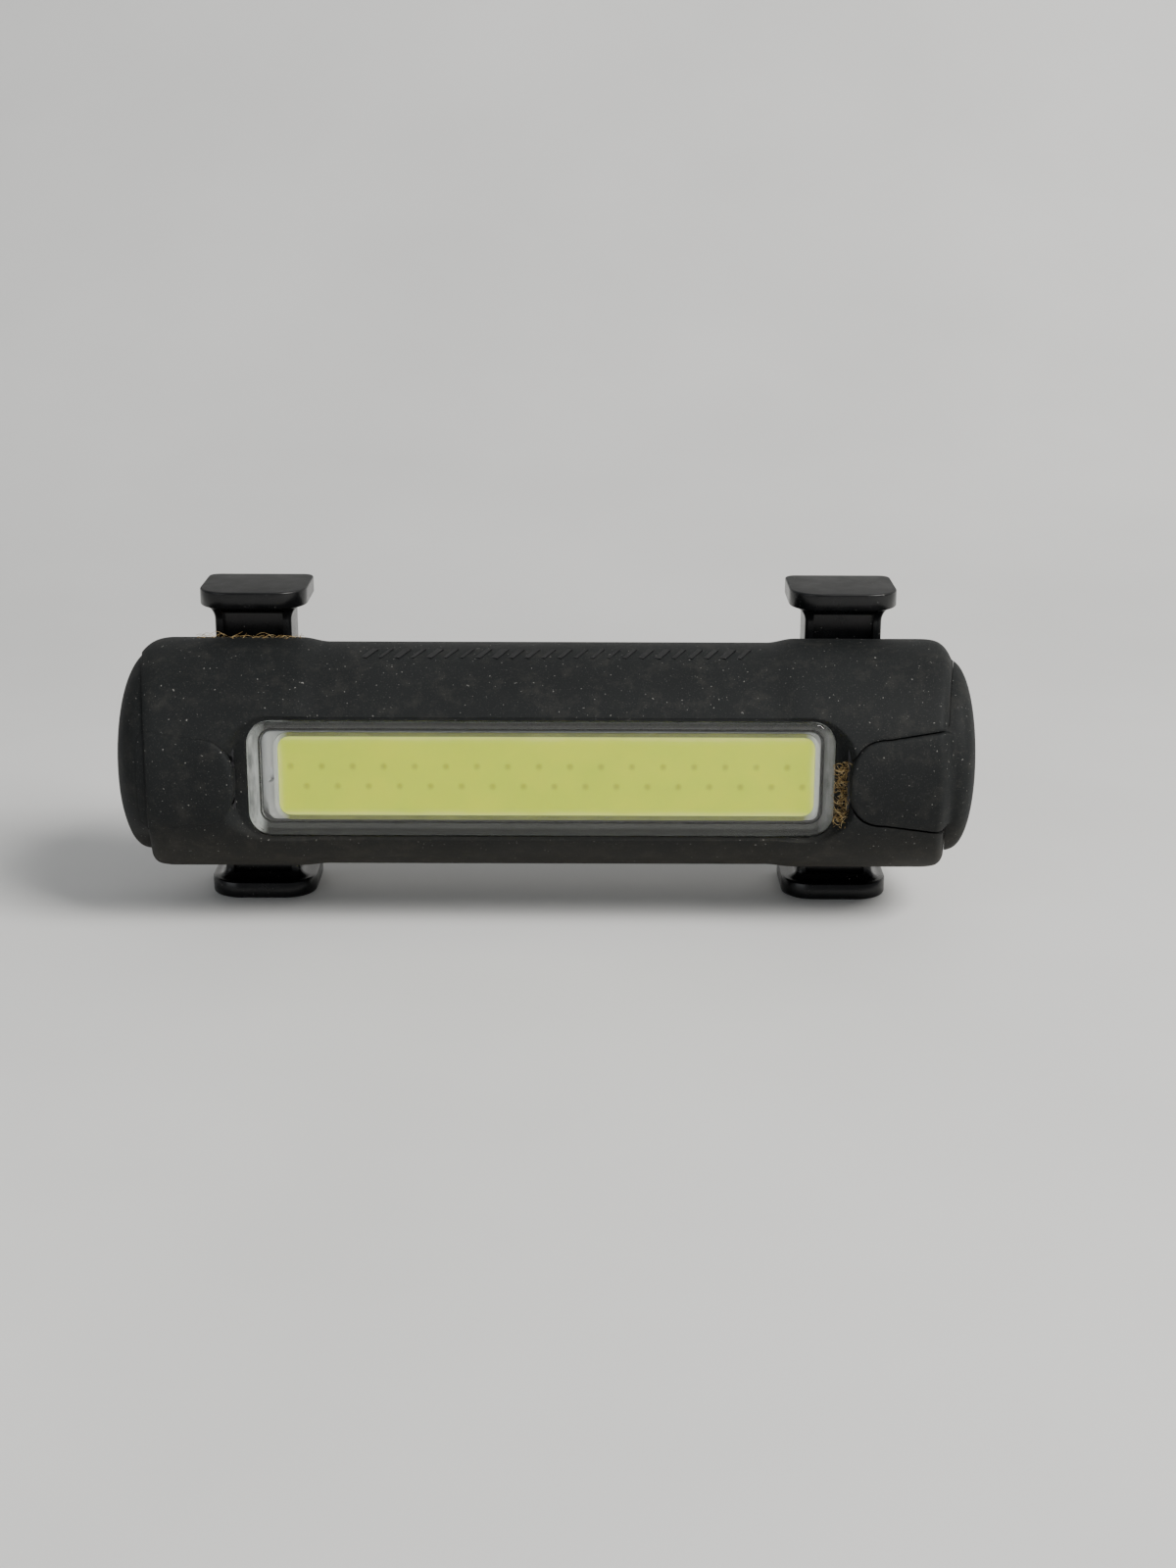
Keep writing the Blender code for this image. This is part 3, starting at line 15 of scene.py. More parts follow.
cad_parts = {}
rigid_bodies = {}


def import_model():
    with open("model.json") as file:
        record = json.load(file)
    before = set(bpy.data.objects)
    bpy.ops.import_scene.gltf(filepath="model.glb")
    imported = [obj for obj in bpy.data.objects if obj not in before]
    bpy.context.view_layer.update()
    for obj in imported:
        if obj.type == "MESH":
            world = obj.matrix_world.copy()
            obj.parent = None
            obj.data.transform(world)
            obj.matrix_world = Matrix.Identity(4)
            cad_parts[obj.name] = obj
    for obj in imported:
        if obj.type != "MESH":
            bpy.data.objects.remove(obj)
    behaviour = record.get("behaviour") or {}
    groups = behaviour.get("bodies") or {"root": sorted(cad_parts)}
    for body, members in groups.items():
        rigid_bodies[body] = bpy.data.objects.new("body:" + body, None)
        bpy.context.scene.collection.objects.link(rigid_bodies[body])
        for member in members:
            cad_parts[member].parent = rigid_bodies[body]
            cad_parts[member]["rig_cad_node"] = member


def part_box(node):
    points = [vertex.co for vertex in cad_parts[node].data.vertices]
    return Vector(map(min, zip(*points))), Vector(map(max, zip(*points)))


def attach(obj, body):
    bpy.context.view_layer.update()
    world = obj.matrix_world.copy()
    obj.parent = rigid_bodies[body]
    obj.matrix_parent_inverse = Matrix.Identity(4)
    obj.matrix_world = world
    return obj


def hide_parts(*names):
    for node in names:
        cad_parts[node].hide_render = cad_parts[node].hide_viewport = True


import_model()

bl_info = {
    "name": "Led Light Bar",
    "version": (1, 0, 0),
    "blender": (4, 5, 0),
    "location": "View3D > Sidebar > Light Bar",
    "description": "Builds the fine surfaces and finishes of a led light bar",
    "category": "Object",
}

MM = 0.001
FAR = 30 * MM  # how far a cutting shape reaches past the lamp
END_POWER = 2.8  # power of the curve by which the body closes, 2 would be an ellipse
CAP_POWER = 3.4  # the same for the cap
BACK_LINE = 5.6 * MM  # depth from the tube's axis past which the body's end stands upright
TONGUE_POWER = 2 / 2.4  # power of the tongue's rounded tip
PIECE_MATERIALS = {"cob_dam": "dam", "lens_gasket": "gasket"}
CAMERA_PLACE = (0.00442, -0.2525, 0.0702)
CAMERA_FORWARD = (0.0, 0.9558, -0.2940)
CAMERA_ROLL = 0.003


# ---- settings -----------------------------------------------------------------------------------
def length(name, description, millimetres):
    """A length property with its default given in millimetres."""
    return bpy.props.FloatProperty(
        name=name, description=description, default=millimetres * MM, min=0.0, unit="LENGTH", precision=5
    )


def colour(name, description, value):
    """A colour property, in linear red, green and blue."""
    return bpy.props.FloatVectorProperty(
        name=name, description=description, default=value, min=0.0, max=1.0, size=3, subtype="COLOR"
    )


class LampSizes(bpy.types.PropertyGroup):
    """Sizes of the lamp's fine surfaces."""

    body_radius: length("Body radius", "Radius of the tube's round front", 12.2)
    back_depth: length("Back depth", "From the tube's axis to its flat back", 12.0)
    back_corner: length("Back corner", "Radius of the flat back's long edges", 3.0)
    flank_taper: bpy.props.FloatProperty(
        name="Flank taper",
        description="How much each flank leans in toward the back",
        default=math.radians(14.8),
        unit="ROTATION",
    )
    shoulder_rise: length("Shoulder rise", "How far the tube thickens near the posts", 0.45)
    shoulder_start: length("Shoulder start", "From the middle to where the tube thickens", 24.0)
    shoulder_blend: length("Shoulder blend", "Length over which the tube thickens", 3.0)
    end_start: length("End start", "From the middle to where the body begins to close", 40.5)
    end_length: length("End length", "Length over which the body would close", 6.02)
    step_front: length("Step at the front", "From the middle to the body's end, at the front", 42.1)
    step_lean: bpy.props.FloatProperty(
        name="Step lean", description="How fast the body's end runs outward toward the back", default=0.17
    )
    step_round: length("Step rounding", "Radius of the edge of the body's end at the front", 1.0)
    step_round_back: length("Step rounding at the back", "The same toward the back", 2.1)
    cap_radius: length("Cap radius", "Radius of the domed cap past the body's end", 10.6)
    cap_start: length("Cap start", "From the middle to where the cap begins to close", 42.9)
    cap_end: length("Cap end", "From the middle to the cap's tip", 46.5)
    sleeve_wall: length("Sleeve wall", "Thickness of the rubber", 1.15)
    lens_corner: length("Lens corner", "Radius of the lens's corners", 2.6)
    lens_edge: length("Lens edge", "Rounding of the lens's front edge", 0.45)
    lens_wall: length("Lens wall", "Thickness of the lens's skirt", 1.1)
    lens_plate: length("Lens plate", "Thickness of the lens's face", 1.4)
    pocket_depth: length("Pocket depth", "From the tube's axis to the floor round the lens", 10.1)
    pocket_end: length("Pocket end", "From the lens's end to the pocket's end wall", 1.35)
    pocket_side: length("Pocket side", "From the lens's long edge to the pocket's wall", 0.35)
    pocket_corner: length("Pocket corner", "Radius of the pocket's corners", 4.2)
    tongue_tip: length("Tongue tip", "From the middle to the tip of the cover's tongue", 32.0)
    tongue_nose: length("Tongue nose", "Length of the tongue's rounded tip", 4.0)
    tongue_half: length("Tongue half height", "Half height of the tongue behind its tip", 4.72)
    tongue_flare: bpy.props.FloatProperty(
        name="Tongue flare", description="How fast the tongue widens toward the end", default=0.15
    )
    tongue_fold: length("Tongue fold", "From the middle to where the tongue folds to the cap", 41.7)
    tongue_round: length("Tongue rounding", "Radius of the edges on both sides of the tongue's seam", 0.45)
    seam_gap: length("Seam gap", "Gap between the sleeve and a moving rubber piece", 0.12)
    button_tip: length("Button tip", "From the middle to the button's inner end", 32.9)
    button_length: length("Button length", "Length of the button", 10.3)
    button_rise: length("Button rise", "How far the button's inner end stands up", 0.28)
    button_room: length("Button room", "Free depth under the button, more than its travel", 0.6)
    head_front_corner: length("Head front corner", "Radius of a post head's front corners", 3.5)
    head_back_corner: length("Head back corner", "Radius of a post head's back corners", 1.2)
    head_thickness: length("Head thickness", "Thickness of a post's head", 1.9)
    head_edge: length("Head edge", "Rounding of a post head's edges", 0.22)
    stem_rib: length("Stem rib", "Width of the ribs beside the hollow of a stem", 0.9)
    stem_half: length("Stem half width", "Half width of a post's stem", 4.2)
    stem_front: length("Stem front", "From the tube's axis back to a stem's front", 2.95)
    stem_back: length("Stem back", "From the tube's axis back to a stem's back", 9.15)
    stem_corner: length("Stem corner", "Radius of a stem's corners", 0.55)
    stem_flare: length("Stem flare", "Radius by which a stem widens to its head", 1.5)


class LampColours(bpy.types.PropertyGroup):
    """Colours of what shows from outside."""

    rubber_dark: colour("Rubber, dark", "The rubber's darker tone", (0.0060, 0.0070, 0.0072))
    rubber_light: colour("Rubber, light", "The rubber's lighter tone", (0.0098, 0.0110, 0.0112))
    dust: colour("Dust", "Fine dust on the rubber", (0.15, 0.145, 0.135))
    gloss_dark: colour("Posts, dark", "The posts' darker tone", (0.0025, 0.0027, 0.0030))
    gloss_light: colour("Posts, light", "The posts' lighter tone", (0.0055, 0.0058, 0.0062))
    phosphor_dark: colour("Phosphor, dark", "The phosphor's darker tone", (0.60, 0.72, 0.0))
    phosphor_light: colour("Phosphor, light", "The phosphor's lighter tone", (0.68, 0.76, 0.0))
    lens_clear: colour("Lens", "Tint of the clean lens", (0.97, 0.98, 0.97))
    lens_haze: colour("Lens haze", "Tint of the lens where it is hazy", (0.90, 0.92, 0.90))
    lint: colour("Lint", "The lint's middle tone", (0.34, 0.23, 0.09))


class LampDetails(bpy.types.PropertyGroup):
    """Counts and seeds of the lamp's repeated details."""

    bar_count: bpy.props.IntProperty(name="Bars", description="Number of raised bars on the top", default=24)
    bar_pitch: length("Bar pitch", "From one raised bar to the next", 1.75)
    fibre_count: bpy.props.IntProperty(
        name="Fibres", description="Number of lint fibres beside the lens", default=150
    )
    base_fibre_count: bpy.props.IntProperty(
        name="Base fibres", description="Number of lint fibres at a post's foot", default=70
    )
    fibre_length: length("Fibre length", "Length of a lint fibre", 1.9)
    fibre_radius: length("Fibre radius", "Radius of a lint fibre", 0.019)
    seed: bpy.props.IntProperty(name="Seed", description="Seed of everything scattered", default=4)


class StageSettings(bpy.types.PropertyGroup):
    """The floor, the lights and the camera."""

    key_power: bpy.props.FloatProperty(name="Key", description="Power of the main light", default=8.5)
    fill_power: bpy.props.FloatProperty(name="Fill", description="Power of the fill light", default=1.2)
    sky: bpy.props.FloatProperty(name="Sky", description="Strength of the light all round", default=0.31)
    lens: bpy.props.FloatProperty(
        name="Focal length", description="Camera lens, in millimetres", default=52.04, min=1.0, unit="CAMERA"
    )


class Place:
    """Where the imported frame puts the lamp's axis and lens."""

    def __init__(self, sizes):
        self.axis_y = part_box("rubber_sleeve")[1].y - sizes.back_depth
        self.offset = (0.0, self.axis_y, 0.0)
        low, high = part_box("lens")
        self.lens_x = (low.x + high.x) / 2
        self.lens_end = high.x
        self.lens_half_length = (high.x - low.x) / 2
        self.lens_half_height = (high.z - low.z) / 2
        self.lens_face = low.y - self.axis_y
        self.lens_mouth = high.y - self.axis_y


# ---- meshes -------------------------------------------------------------------------------------
def new_object(name, mesh):
    """Link a mesh to the scene as an object."""
    item = bpy.data.objects.new(name, mesh)
    bpy.context.scene.collection.objects.link(item)
    return item


def from_bmesh(name, mesh):
    """Make an object of a bmesh, with its faces turned outward."""
    bmesh.ops.recalc_face_normals(mesh, faces=mesh.faces)
    data = bpy.data.meshes.new(name)
    mesh.to_mesh(data)
    mesh.free()
    return new_object(name, data)


def ring_rows(mesh, rings):
    """Add rings of points to a bmesh and the faces between them."""
    rows = []
    for ring in rings:
        rows.append([mesh.verts.new(point) for point in ring])
    for first, second in zip(rows, rows[1:]):
        for j in range(len(first)):
            k = (j + 1) % len(first)
            mesh.faces.new((first[j], first[k], second[k], second[j]))
    return rows


def loop_solid(name, rings, offset=(0.0, 0.0, 0.0)):
    """A closed solid through rings with the same number of points."""
    rings = np.asarray(rings, float) + np.asarray(offset)
    mesh = bmesh.new()
    rows = ring_rows(mesh, rings)
    for row, ring in ((rows[0], rings[0]), (rows[-1], rings[-1])):
        centre = mesh.verts.new(ring.mean(axis=0))
        for j in range(len(row)):
            mesh.faces.new((row[j], row[(j + 1) % len(row)], centre))
    return from_bmesh(name, mesh)


def prism(name, outline, low, high, axis, offset=(0.0, 0.0, 0.0)):
    """A prism on an outline; axis 1 draws (x, z) points along Y and axis 2 draws (x, y) points along Z."""
    rings = []
    for level in (low, high):
        if axis == 1:
            rings.append([(a, level, b) for a, b in outline])
        else:
            rings.append([(a, b, level) for a, b in outline])
    mesh = bmesh.new()
    for row in ring_rows(mesh, np.asarray(rings, float) + np.asarray(offset)):
        mesh.faces.new(row)
    return from_bmesh(name, mesh)


def block(name, low, high):
    """A plain box between two corners."""
    mesh = bmesh.new()
    bmesh.ops.create_cube(mesh, size=1.0)
    low = Vector(low)
    high = Vector(high)
    bmesh.ops.scale(mesh, vec=high - low, verts=mesh.verts)
    bmesh.ops.translate(mesh, vec=(low + high) / 2, verts=mesh.verts)
    return from_bmesh(name, mesh)


def combine(item, tools, operation):
    """Apply one Boolean with each of the tools, which are then removed."""
    for tool in tools:
        modifier = item.modifiers.new(tool.name, "BOOLEAN")
        modifier.operation = operation
        modifier.solver = "MANIFOLD"
        modifier.object = tool
    graph = bpy.context.evaluated_depsgraph_get()
    before = len(item.data.vertices)
    mesh = bpy.data.meshes.new_from_object(item.evaluated_get(graph))
    item.modifiers.clear()
    old = item.data
    item.data = mesh
    bpy.data.meshes.remove(old)
    for tool in tools:
        bpy.data.objects.remove(tool, do_unlink=True)
    if len(mesh.vertices) == 0 or (len(mesh.vertices) == before and operation == "DIFFERENCE"):
        raise RuntimeError("the Boolean on %s changed nothing" % item.name)
    return item


def smooth(item, degrees=35.0):
    """Shade smooth but for the sharp edges."""
    item.data.shade_smooth()
    item.data.set_sharp_from_angle(angle=math.radians(degrees))


def rounded_rectangle(centre_x, half_x, half_z, corner, steps=10):
    """The outline of a rounded rectangle, as (x, z) points in order."""
    points = []
    for number, (sx, sz) in enumerate(((1, 1), (-1, 1), (-1, -1), (1, -1))):
        for step in range(steps + 1):
            angle = math.radians(90 * number + 90 * step / steps)
            x = centre_x + sx * (half_x - corner) + corner * math.cos(angle)
            points.append((x, sz * (half_z - corner) + corner * math.sin(angle)))
    return points


def inside_distance(x, z, outline):
    """Distance to a closed outline, positive inside it."""
    points = np.asarray(outline, float)
    ends = np.roll(points, -1, axis=0)
    best = np.full(x.shape, 1.0)
    inside = np.zeros(x.shape, bool)
    for (ax, az), (bx, bz) in zip(points, ends):
        dx = bx - ax
        dz = bz - az
        share = np.clip(((x - ax) * dx + (z - az) * dz) / (dx * dx + dz * dz + 1e-18), 0.0, 1.0)
        best = np.minimum(best, np.hypot(x - ax - share * dx, z - az - share * dz))
        crosses = (az > z) != (bz > z)
        with np.errstate(divide="ignore", invalid="ignore"):
            meets = ax + (z - az) * dx / (dz if dz else 1e-18)
        inside ^= crosses & (x < meets)
    return np.where(inside, best, -best)


def ramp(value, start, span):
    """Rise smoothly from 0 to 1 over the span."""
    t = np.clip((value - start) / span, 0.0, 1.0)
    return t * t * (3 - 2 * t)


def soft_min(a, b, blend):
    """The smaller of two fields, with the crease between them blended."""
    h = np.clip(0.5 + 0.5 * (b - a) / blend, 0.0, 1.0)
    return b * (1 - h) + a * h - blend * h * (1 - h)


def soft_max(a, b, blend):
    """The larger of two fields, with the crease between them blended."""
    return -soft_min(-a, -b, blend)


def edge_drop(distance, radius):
    """How far a rounded edge falls, at a distance in from the edge."""
    d = np.clip(distance, 0.0, radius)
    return radius - np.sqrt(np.maximum(radius * radius - (radius - d) ** 2, 0.0))


# ---- the body's surface -------------------------------------------------------------------------
NEAR_EDGE = 0.01 * MM  # how close a station comes to the body's end
LEAN_START = 6 * MM  # how far before the body's end its stations begin to lean
LEAN_SPAN = 5 * MM
BACK_START = -4 * MM  # depth from the tube's axis at which the back's sizes begin to take over
BACK_SPAN = 5 * MM
FRONT_SHARE = 0.55  # share of the shoulder's rise that the front has
LIFT_SPAN = 3 * MM  # length over which the button's raised end falls to the sleeve
LIFT_END = 5 * MM  # from the button's inner end to where its lift begins
LIFT_EDGE = 0.6 * MM
TONGUE_FALL = 3.0  # slope of the surface outside the tongue's outline
FOLD_BLEND = 0.35 * MM
FOLD_SLOPE = 0.9
FOLD_CURVE = 350.0  # how fast the tongue turns down past its fold, per metre
TONGUE_BLEND = 0.5 * MM
LEFT_STEP = 0.1  # share of the step that the left end keeps, away from its bottom
CLOSE_START = 4 * MM  # how far before the body's end its section runs into the cap
CLOSE_BLEND = 0.1 * MM
POCKET_SLOPE = 3.2  # slope of the pocket's wall, eased by the next value at the left
POCKET_EASE = 1.6
POCKET_LEFT = 27 * MM  # from the middle to where the pocket turns shallow, and over what length
POCKET_LEFT_SPAN = 4 * MM
POCKET_SHALLOW = 0.25 * MM
POCKET_BLEND = 0.45
POCKET_LEFT_BLEND = 0.7


def section(sizes, inset=0.0, fine=True):
    """Points and outward normals of the body's section, with each point's share of the rise."""
    radius = sizes.body_radius - inset
    back = sizes.back_depth - inset
    corner = max(sizes.back_corner - inset, 0.4 * MM)
    taper = sizes.flank_taper
    corner_y = back - corner
    corner_z = (radius - corner - math.sin(taper) * corner_y) / math.cos(taper)
    reach = 90 + math.degrees(taper)
    if fine:
        angles = np.concatenate((
            np.linspace(-reach, -45, 34)[:-1], np.linspace(-45, 45, 105), np.linspace(45, reach, 34)[1:]
        ))
        flank_steps, corner_steps, back_steps = 8, 8, 14
    else:
        angles = np.linspace(-reach, reach, 60)
        flank_steps, corner_steps, back_steps = 2, 4, 2
    rows = []
    for angle in np.radians(angles):
        ny = -math.cos(angle)
        nz = math.sin(angle)
        rows.append((ny, nz, ny * radius, nz * radius, 1.0))
    turn = math.radians(90) - taper
    normal = (math.cos(turn), math.sin(turn))
    top = (radius * math.cos(turn), radius * math.sin(turn))
    low = (corner_y + corner * math.cos(turn), corner_z + corner * math.sin(turn))
    for step in range(1, flank_steps):
        t = step / flank_steps
        rows.append((*normal, top[0] + (low[0] - top[0]) * t, top[1] + (low[1] - top[1]) * t, 1 - t))
    for step in range(corner_steps + 1):
        angle = turn * (1 - step / corner_steps)
        rows.append((
            math.cos(angle), math.sin(angle),
            corner_y + corner * math.cos(angle), corner_z + corner * math.sin(angle), 0.0,
        ))
    for step in range(1, back_steps):
        rows.append((1.0, 0.0, back, corner_z * (1 - 2 * step / back_steps), 0.0))
    for step in range(corner_steps + 1):
        angle = -turn * step / corner_steps
        rows.append((
            math.cos(angle), math.sin(angle),
            corner_y + corner * math.cos(angle), -corner_z + corner * math.sin(angle), 0.0,
        ))
    for step in range(1, flank_steps):
        t = step / flank_steps
        y = low[0] + (top[0] - low[0]) * t
        z = low[1] + (top[1] - low[1]) * t
        rows.append((normal[0], -normal[1], y, -z, t))
    return np.array(rows)


def cap_radius(sizes, x):
    """The cap's radius at a distance from the middle."""
    t = np.clip((x - sizes.cap_start) / (sizes.cap_end - sizes.cap_start), 0.0, 1.0)
    return sizes.cap_radius * np.sqrt(1 - t ** CAP_POWER)


def end_share(sizes, x):
    """How much of its full section the body keeps at a distance from the middle."""
    t = np.clip((x - sizes.end_start) / sizes.end_length, 0.0, 1.0)
    return (1 - t ** END_POWER) ** (1 / END_POWER)


def step_place(sizes, y):
    """How far from the middle the body's end lies at this depth."""
    return sizes.step_front + sizes.step_lean * (np.minimum(y, BACK_LINE) + sizes.body_radius)


def end_stations(sizes, fine=True):
    """Stations from the body's end to the cap's tip, both measured at the front."""
    span = sizes.cap_end - sizes.step_front
    count = 30 if fine else 14
    shares = np.sin(np.linspace(0.0, math.pi / 2, count))
    stations = sizes.step_front + NEAR_EDGE + (span - NEAR_EDGE) * shares
    stations[-1] = sizes.cap_end - 0.0005 * MM
    return stations


def tongue_surface(sizes, x, y0, z0, away, cap):
    """The tube's surface with the tongue standing out of the cap."""
    lateral = inside_distance(x, z0 + 0 * x, tongue_outline(sizes, 0.0, sizes.cap_end + 4 * MM))
    top = sizes.body_radius + FRONT_SHARE * sizes.shoulder_rise
    wall = top - edge_drop(lateral, sizes.tongue_round) - TONGUE_FALL * np.maximum(-lateral, 0.0)
    fold = soft_max(away - sizes.tongue_fold, 0 * away, FOLD_BLEND)
    wall = wall - FOLD_SLOPE * fold - FOLD_CURVE * fold ** 2
    radius = soft_max(wall, cap, TONGUE_BLEND)
    keep = (y0 < 0) & (away < sizes.cap_end)
    scale = np.where(keep, np.maximum(radius, cap), cap) / sizes.body_radius
    return y0 * scale, z0 * scale


def closed_surface(sizes, xi, away, profile, height, corner):
    """The sleeve's surface, stepped down to the cap at the right end and at the bottom of the left end."""
    ny, nz, y0, z0 = profile
    far = np.abs(xi)
    past = far > sizes.step_front
    kept = end_share(sizes, away)
    low_left = ramp(-z0, 5 * MM, 4 * MM) * ramp(-y0, -6 * MM, 6 * MM)
    stepped = np.where(xi > 0, 1.0, LEFT_STEP + (1 - LEFT_STEP) * low_left)
    full = np.hypot(y0, z0)
    plain = sizes.body_radius * kept
    cap = np.minimum(cap_radius(sizes, away) * stepped + (1 - stepped) * plain, plain)
    y = y0 + ny * (height + corner * (1 - stepped) * ~past)
    z = z0 + nz * (height + corner * (1 - stepped) * ~past)
    reach = np.hypot(y, z) * kept
    goal = full * cap / sizes.body_radius
    reach = np.where(far > sizes.step_front - CLOSE_START, soft_max(reach, goal, CLOSE_BLEND), reach)
    factor = np.where(past, goal, reach) / np.hypot(y, z)
    return y * factor, z * factor


def pocket_surface(sizes, place, x, y, z):
    """The surface's depth with the lens's pocket sunk into it."""
    outline = rounded_rectangle(
        place.lens_x,
        place.lens_half_length + sizes.pocket_end,
        place.lens_half_height + sizes.pocket_side,
        sizes.pocket_corner,
    )
    outside = np.maximum(-inside_distance(x, z, outline), 0.0)
    left = ramp(-x, POCKET_LEFT, POCKET_LEFT_SPAN)
    floor = sizes.pocket_depth + (POCKET_SLOPE - POCKET_EASE * left) * outside + POCKET_SHALLOW * left
    return np.where(y < 0, -soft_min(-y, floor, (POCKET_BLEND + POCKET_LEFT_BLEND * left) * MM), y)


def body_grid(sizes, place, stations, pocket=False, tongue=False, button=False):
    """The rubber's outer surface at these stations, as rings of points."""
    profile = section(sizes)
    ny, nz, y0, z0, share = (profile[:, i][None, :] for i in range(5))
    xi = np.asarray(stations)[:, None]
    far = np.abs(xi)
    past = far > sizes.step_front
    lean = np.where(
        past,
        1 - ramp(far, sizes.step_front, sizes.cap_end - sizes.step_front),
        ramp(far, sizes.step_front - LEAN_START, LEAN_SPAN),
    )
    away = far + (step_place(sizes, y0) - sizes.step_front) * lean
    x = np.sign(xi) * away
    rise = sizes.shoulder_rise * ramp(away, sizes.shoulder_start, sizes.shoulder_blend)
    toward_back = ramp(y0, BACK_START, BACK_SPAN)
    edge = sizes.step_round + (sizes.step_round_back - sizes.step_round) * toward_back
    corner = edge_drop(sizes.step_front - far + 0 * edge, edge)
    height = rise * share * (FRONT_SHARE + (1 - FRONT_SHARE) * toward_back) - np.where(past, 0.0, corner)
    if pocket:
        seam = inside_distance(x, z0 + 0 * x, tongue_outline(sizes, -sizes.seam_gap, sizes.cap_end))
        near = (y0 < 0) & (x > 0) & ~past
        height = height - np.where(near, edge_drop(np.maximum(-seam, 0.0), sizes.tongue_round), 0.0)
        height = height - post_foot_drop(sizes, x, y0 + 0 * x)
    if button:
        held = inside_distance(x, z0 + 0 * x, button_outline(sizes, 0.0))
        lift = sizes.button_rise * ramp(x, -sizes.button_tip - LIFT_END, LIFT_SPAN)
        height = height + lift * (1 - edge_drop(held, LIFT_EDGE) / LIFT_EDGE) * (y0 < 0)
    if tongue:
        y, z = tongue_surface(sizes, x, y0, z0, away, cap_radius(sizes, away))
    else:
        y, z = closed_surface(sizes, xi, away, (ny, nz, y0, z0), height, corner)
    if pocket:
        y = pocket_surface(sizes, place, x, y, z)
    return np.stack((x + 0 * y, y, z), axis=2)


def rounded_tip(sizes, base, grow):
    """The upper half of the tongue's rounded tip, as (x, z) points."""
    points = []
    for step in range(17):
        angle = math.radians(90 * step / 16)
        x = base - (sizes.tongue_nose + grow) * math.cos(angle) ** TONGUE_POWER
        points.append((x, (sizes.tongue_half + grow) * math.sin(angle) ** TONGUE_POWER))
    return points


def tongue_outline(sizes, grow, end):
    """The port cover's tongue, as (x, z) points; it widens from its rounded tip."""
    base = sizes.tongue_tip + sizes.tongue_nose
    upper = rounded_tip(sizes, base, grow)
    for step in range(1, 7):
        x = base + (end - base) * step / 6
        upper.append((x, sizes.tongue_half + grow + sizes.tongue_flare * (x - base)))
    lower = [(x, -z) for x, z in reversed(upper)]
    return upper + lower[:-1]


def button_outline(sizes, grow):
    """The power button, a mirror image of the tongue with a rounded outer end."""
    base = sizes.button_tip + sizes.tongue_nose
    end = sizes.button_tip + sizes.button_length
    points = [(-x, z) for x, z in rounded_tip(sizes, base, grow)]
    corner = 1.5 * MM
    high = sizes.tongue_half + sizes.tongue_flare * (end - base - corner)
    for step in range(7):
        angle = math.radians(90 - 90 * step / 6)
        points.append((
            -(end - corner) - (corner + grow) * math.cos(angle),
            high - corner + (corner + grow) * math.sin(angle),
        ))
    return points + [(x, -z) for x, z in reversed(points[1:])]


def post_centre(side):
    """Where a side's posts stand along the lamp."""
    low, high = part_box("strap_post_upper_" + side)
    return (low.x + high.x) / 2


def post_foot_drop(sizes, x, y):
    """The rubber's rounded edge round each stem."""
    half = sizes.stem_half
    front = sizes.stem_front
    back = sizes.stem_back
    radius = 0.5 * MM
    drop = np.zeros(x.shape)
    for side in ("left", "right"):
        centre = post_centre(side)
        outline = [
            (centre - half, front), (centre + half, front), (centre + half, back), (centre - half, back)
        ]
        outside = np.maximum(-inside_distance(x, y, outline), 0.0)
        drop = drop + np.where(outside < radius, edge_drop(outside, radius), 0.0)
    return drop


def inner_core(sizes, place, name):
    """The space inside the rubber, which the housing fills."""
    profile = section(sizes, sizes.sleeve_wall, fine=False)
    y0 = profile[:, 2]
    z0 = profile[:, 3]
    stations = np.concatenate((
        -end_stations(sizes, False)[::-1], np.linspace(-sizes.step_front, sizes.step_front, 21),
        end_stations(sizes, False),
    ))
    rings = []
    for xi in stations:
        far = abs(xi)
        close = min(max((far - (sizes.step_front - 1.5 * MM)) / (1.5 * MM), 0.0), 1.0)
        cap = min(cap_radius(sizes, far + sizes.sleeve_wall), 10.4 * MM) - sizes.sleeve_wall
        scale = 1 - close * (1 - max(cap, 0.3 * MM) / (sizes.body_radius - sizes.sleeve_wall))
        limit = (sizes.cap_end - sizes.sleeve_wall) / sizes.cap_end
        rings.append([(xi * limit, y * scale, z * scale) for y, z in zip(y0, z0)])
    core = loop_solid(name, rings, place.offset)
    low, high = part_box("lens")
    seat = block(
        name + "_seat",
        (low.x - 1.3 * MM, low.y - 20 * MM, -20 * MM),
        (high.x + 1.3 * MM, high.y + 0.3 * MM, 20 * MM),
    )
    return combine(core, [seat], "DIFFERENCE")


def cover_region(sizes, place, name, grow):
    """The region at the right end that belongs to the port cover."""
    hinge_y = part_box("port_cover")[1].y - place.axis_y
    outline = [
        (sizes.cap_end + FAR, -FAR),
        (sizes.step_front - grow + sizes.step_lean * (sizes.body_radius - FAR), -FAR),
        (float(step_place(sizes, BACK_LINE)) - grow, BACK_LINE),
        (sizes.cap_end - 0.8 * MM - grow, hinge_y + grow),
        (sizes.cap_end + FAR, hinge_y + grow),
    ]
    return prism(name, outline, -FAR, FAR, 2, place.offset)


def all_stations(sizes):
    """Stations along the whole body, closest where the surface turns quickest."""
    ends = end_stations(sizes)
    body_end = sizes.step_front - sizes.step_round * (1 - np.cos(np.linspace(0, math.pi / 2, 9)))[::-1]
    near = np.arange(30.0 * MM, sizes.step_front - sizes.step_round - 0.1 * MM, 0.2 * MM)
    mid = np.linspace(24 * MM, 29.7 * MM, 16)
    half = np.concatenate((mid, near, body_end, ends))
    return np.concatenate((-half[::-1], np.linspace(-22.5 * MM, 22.5 * MM, 29), half))


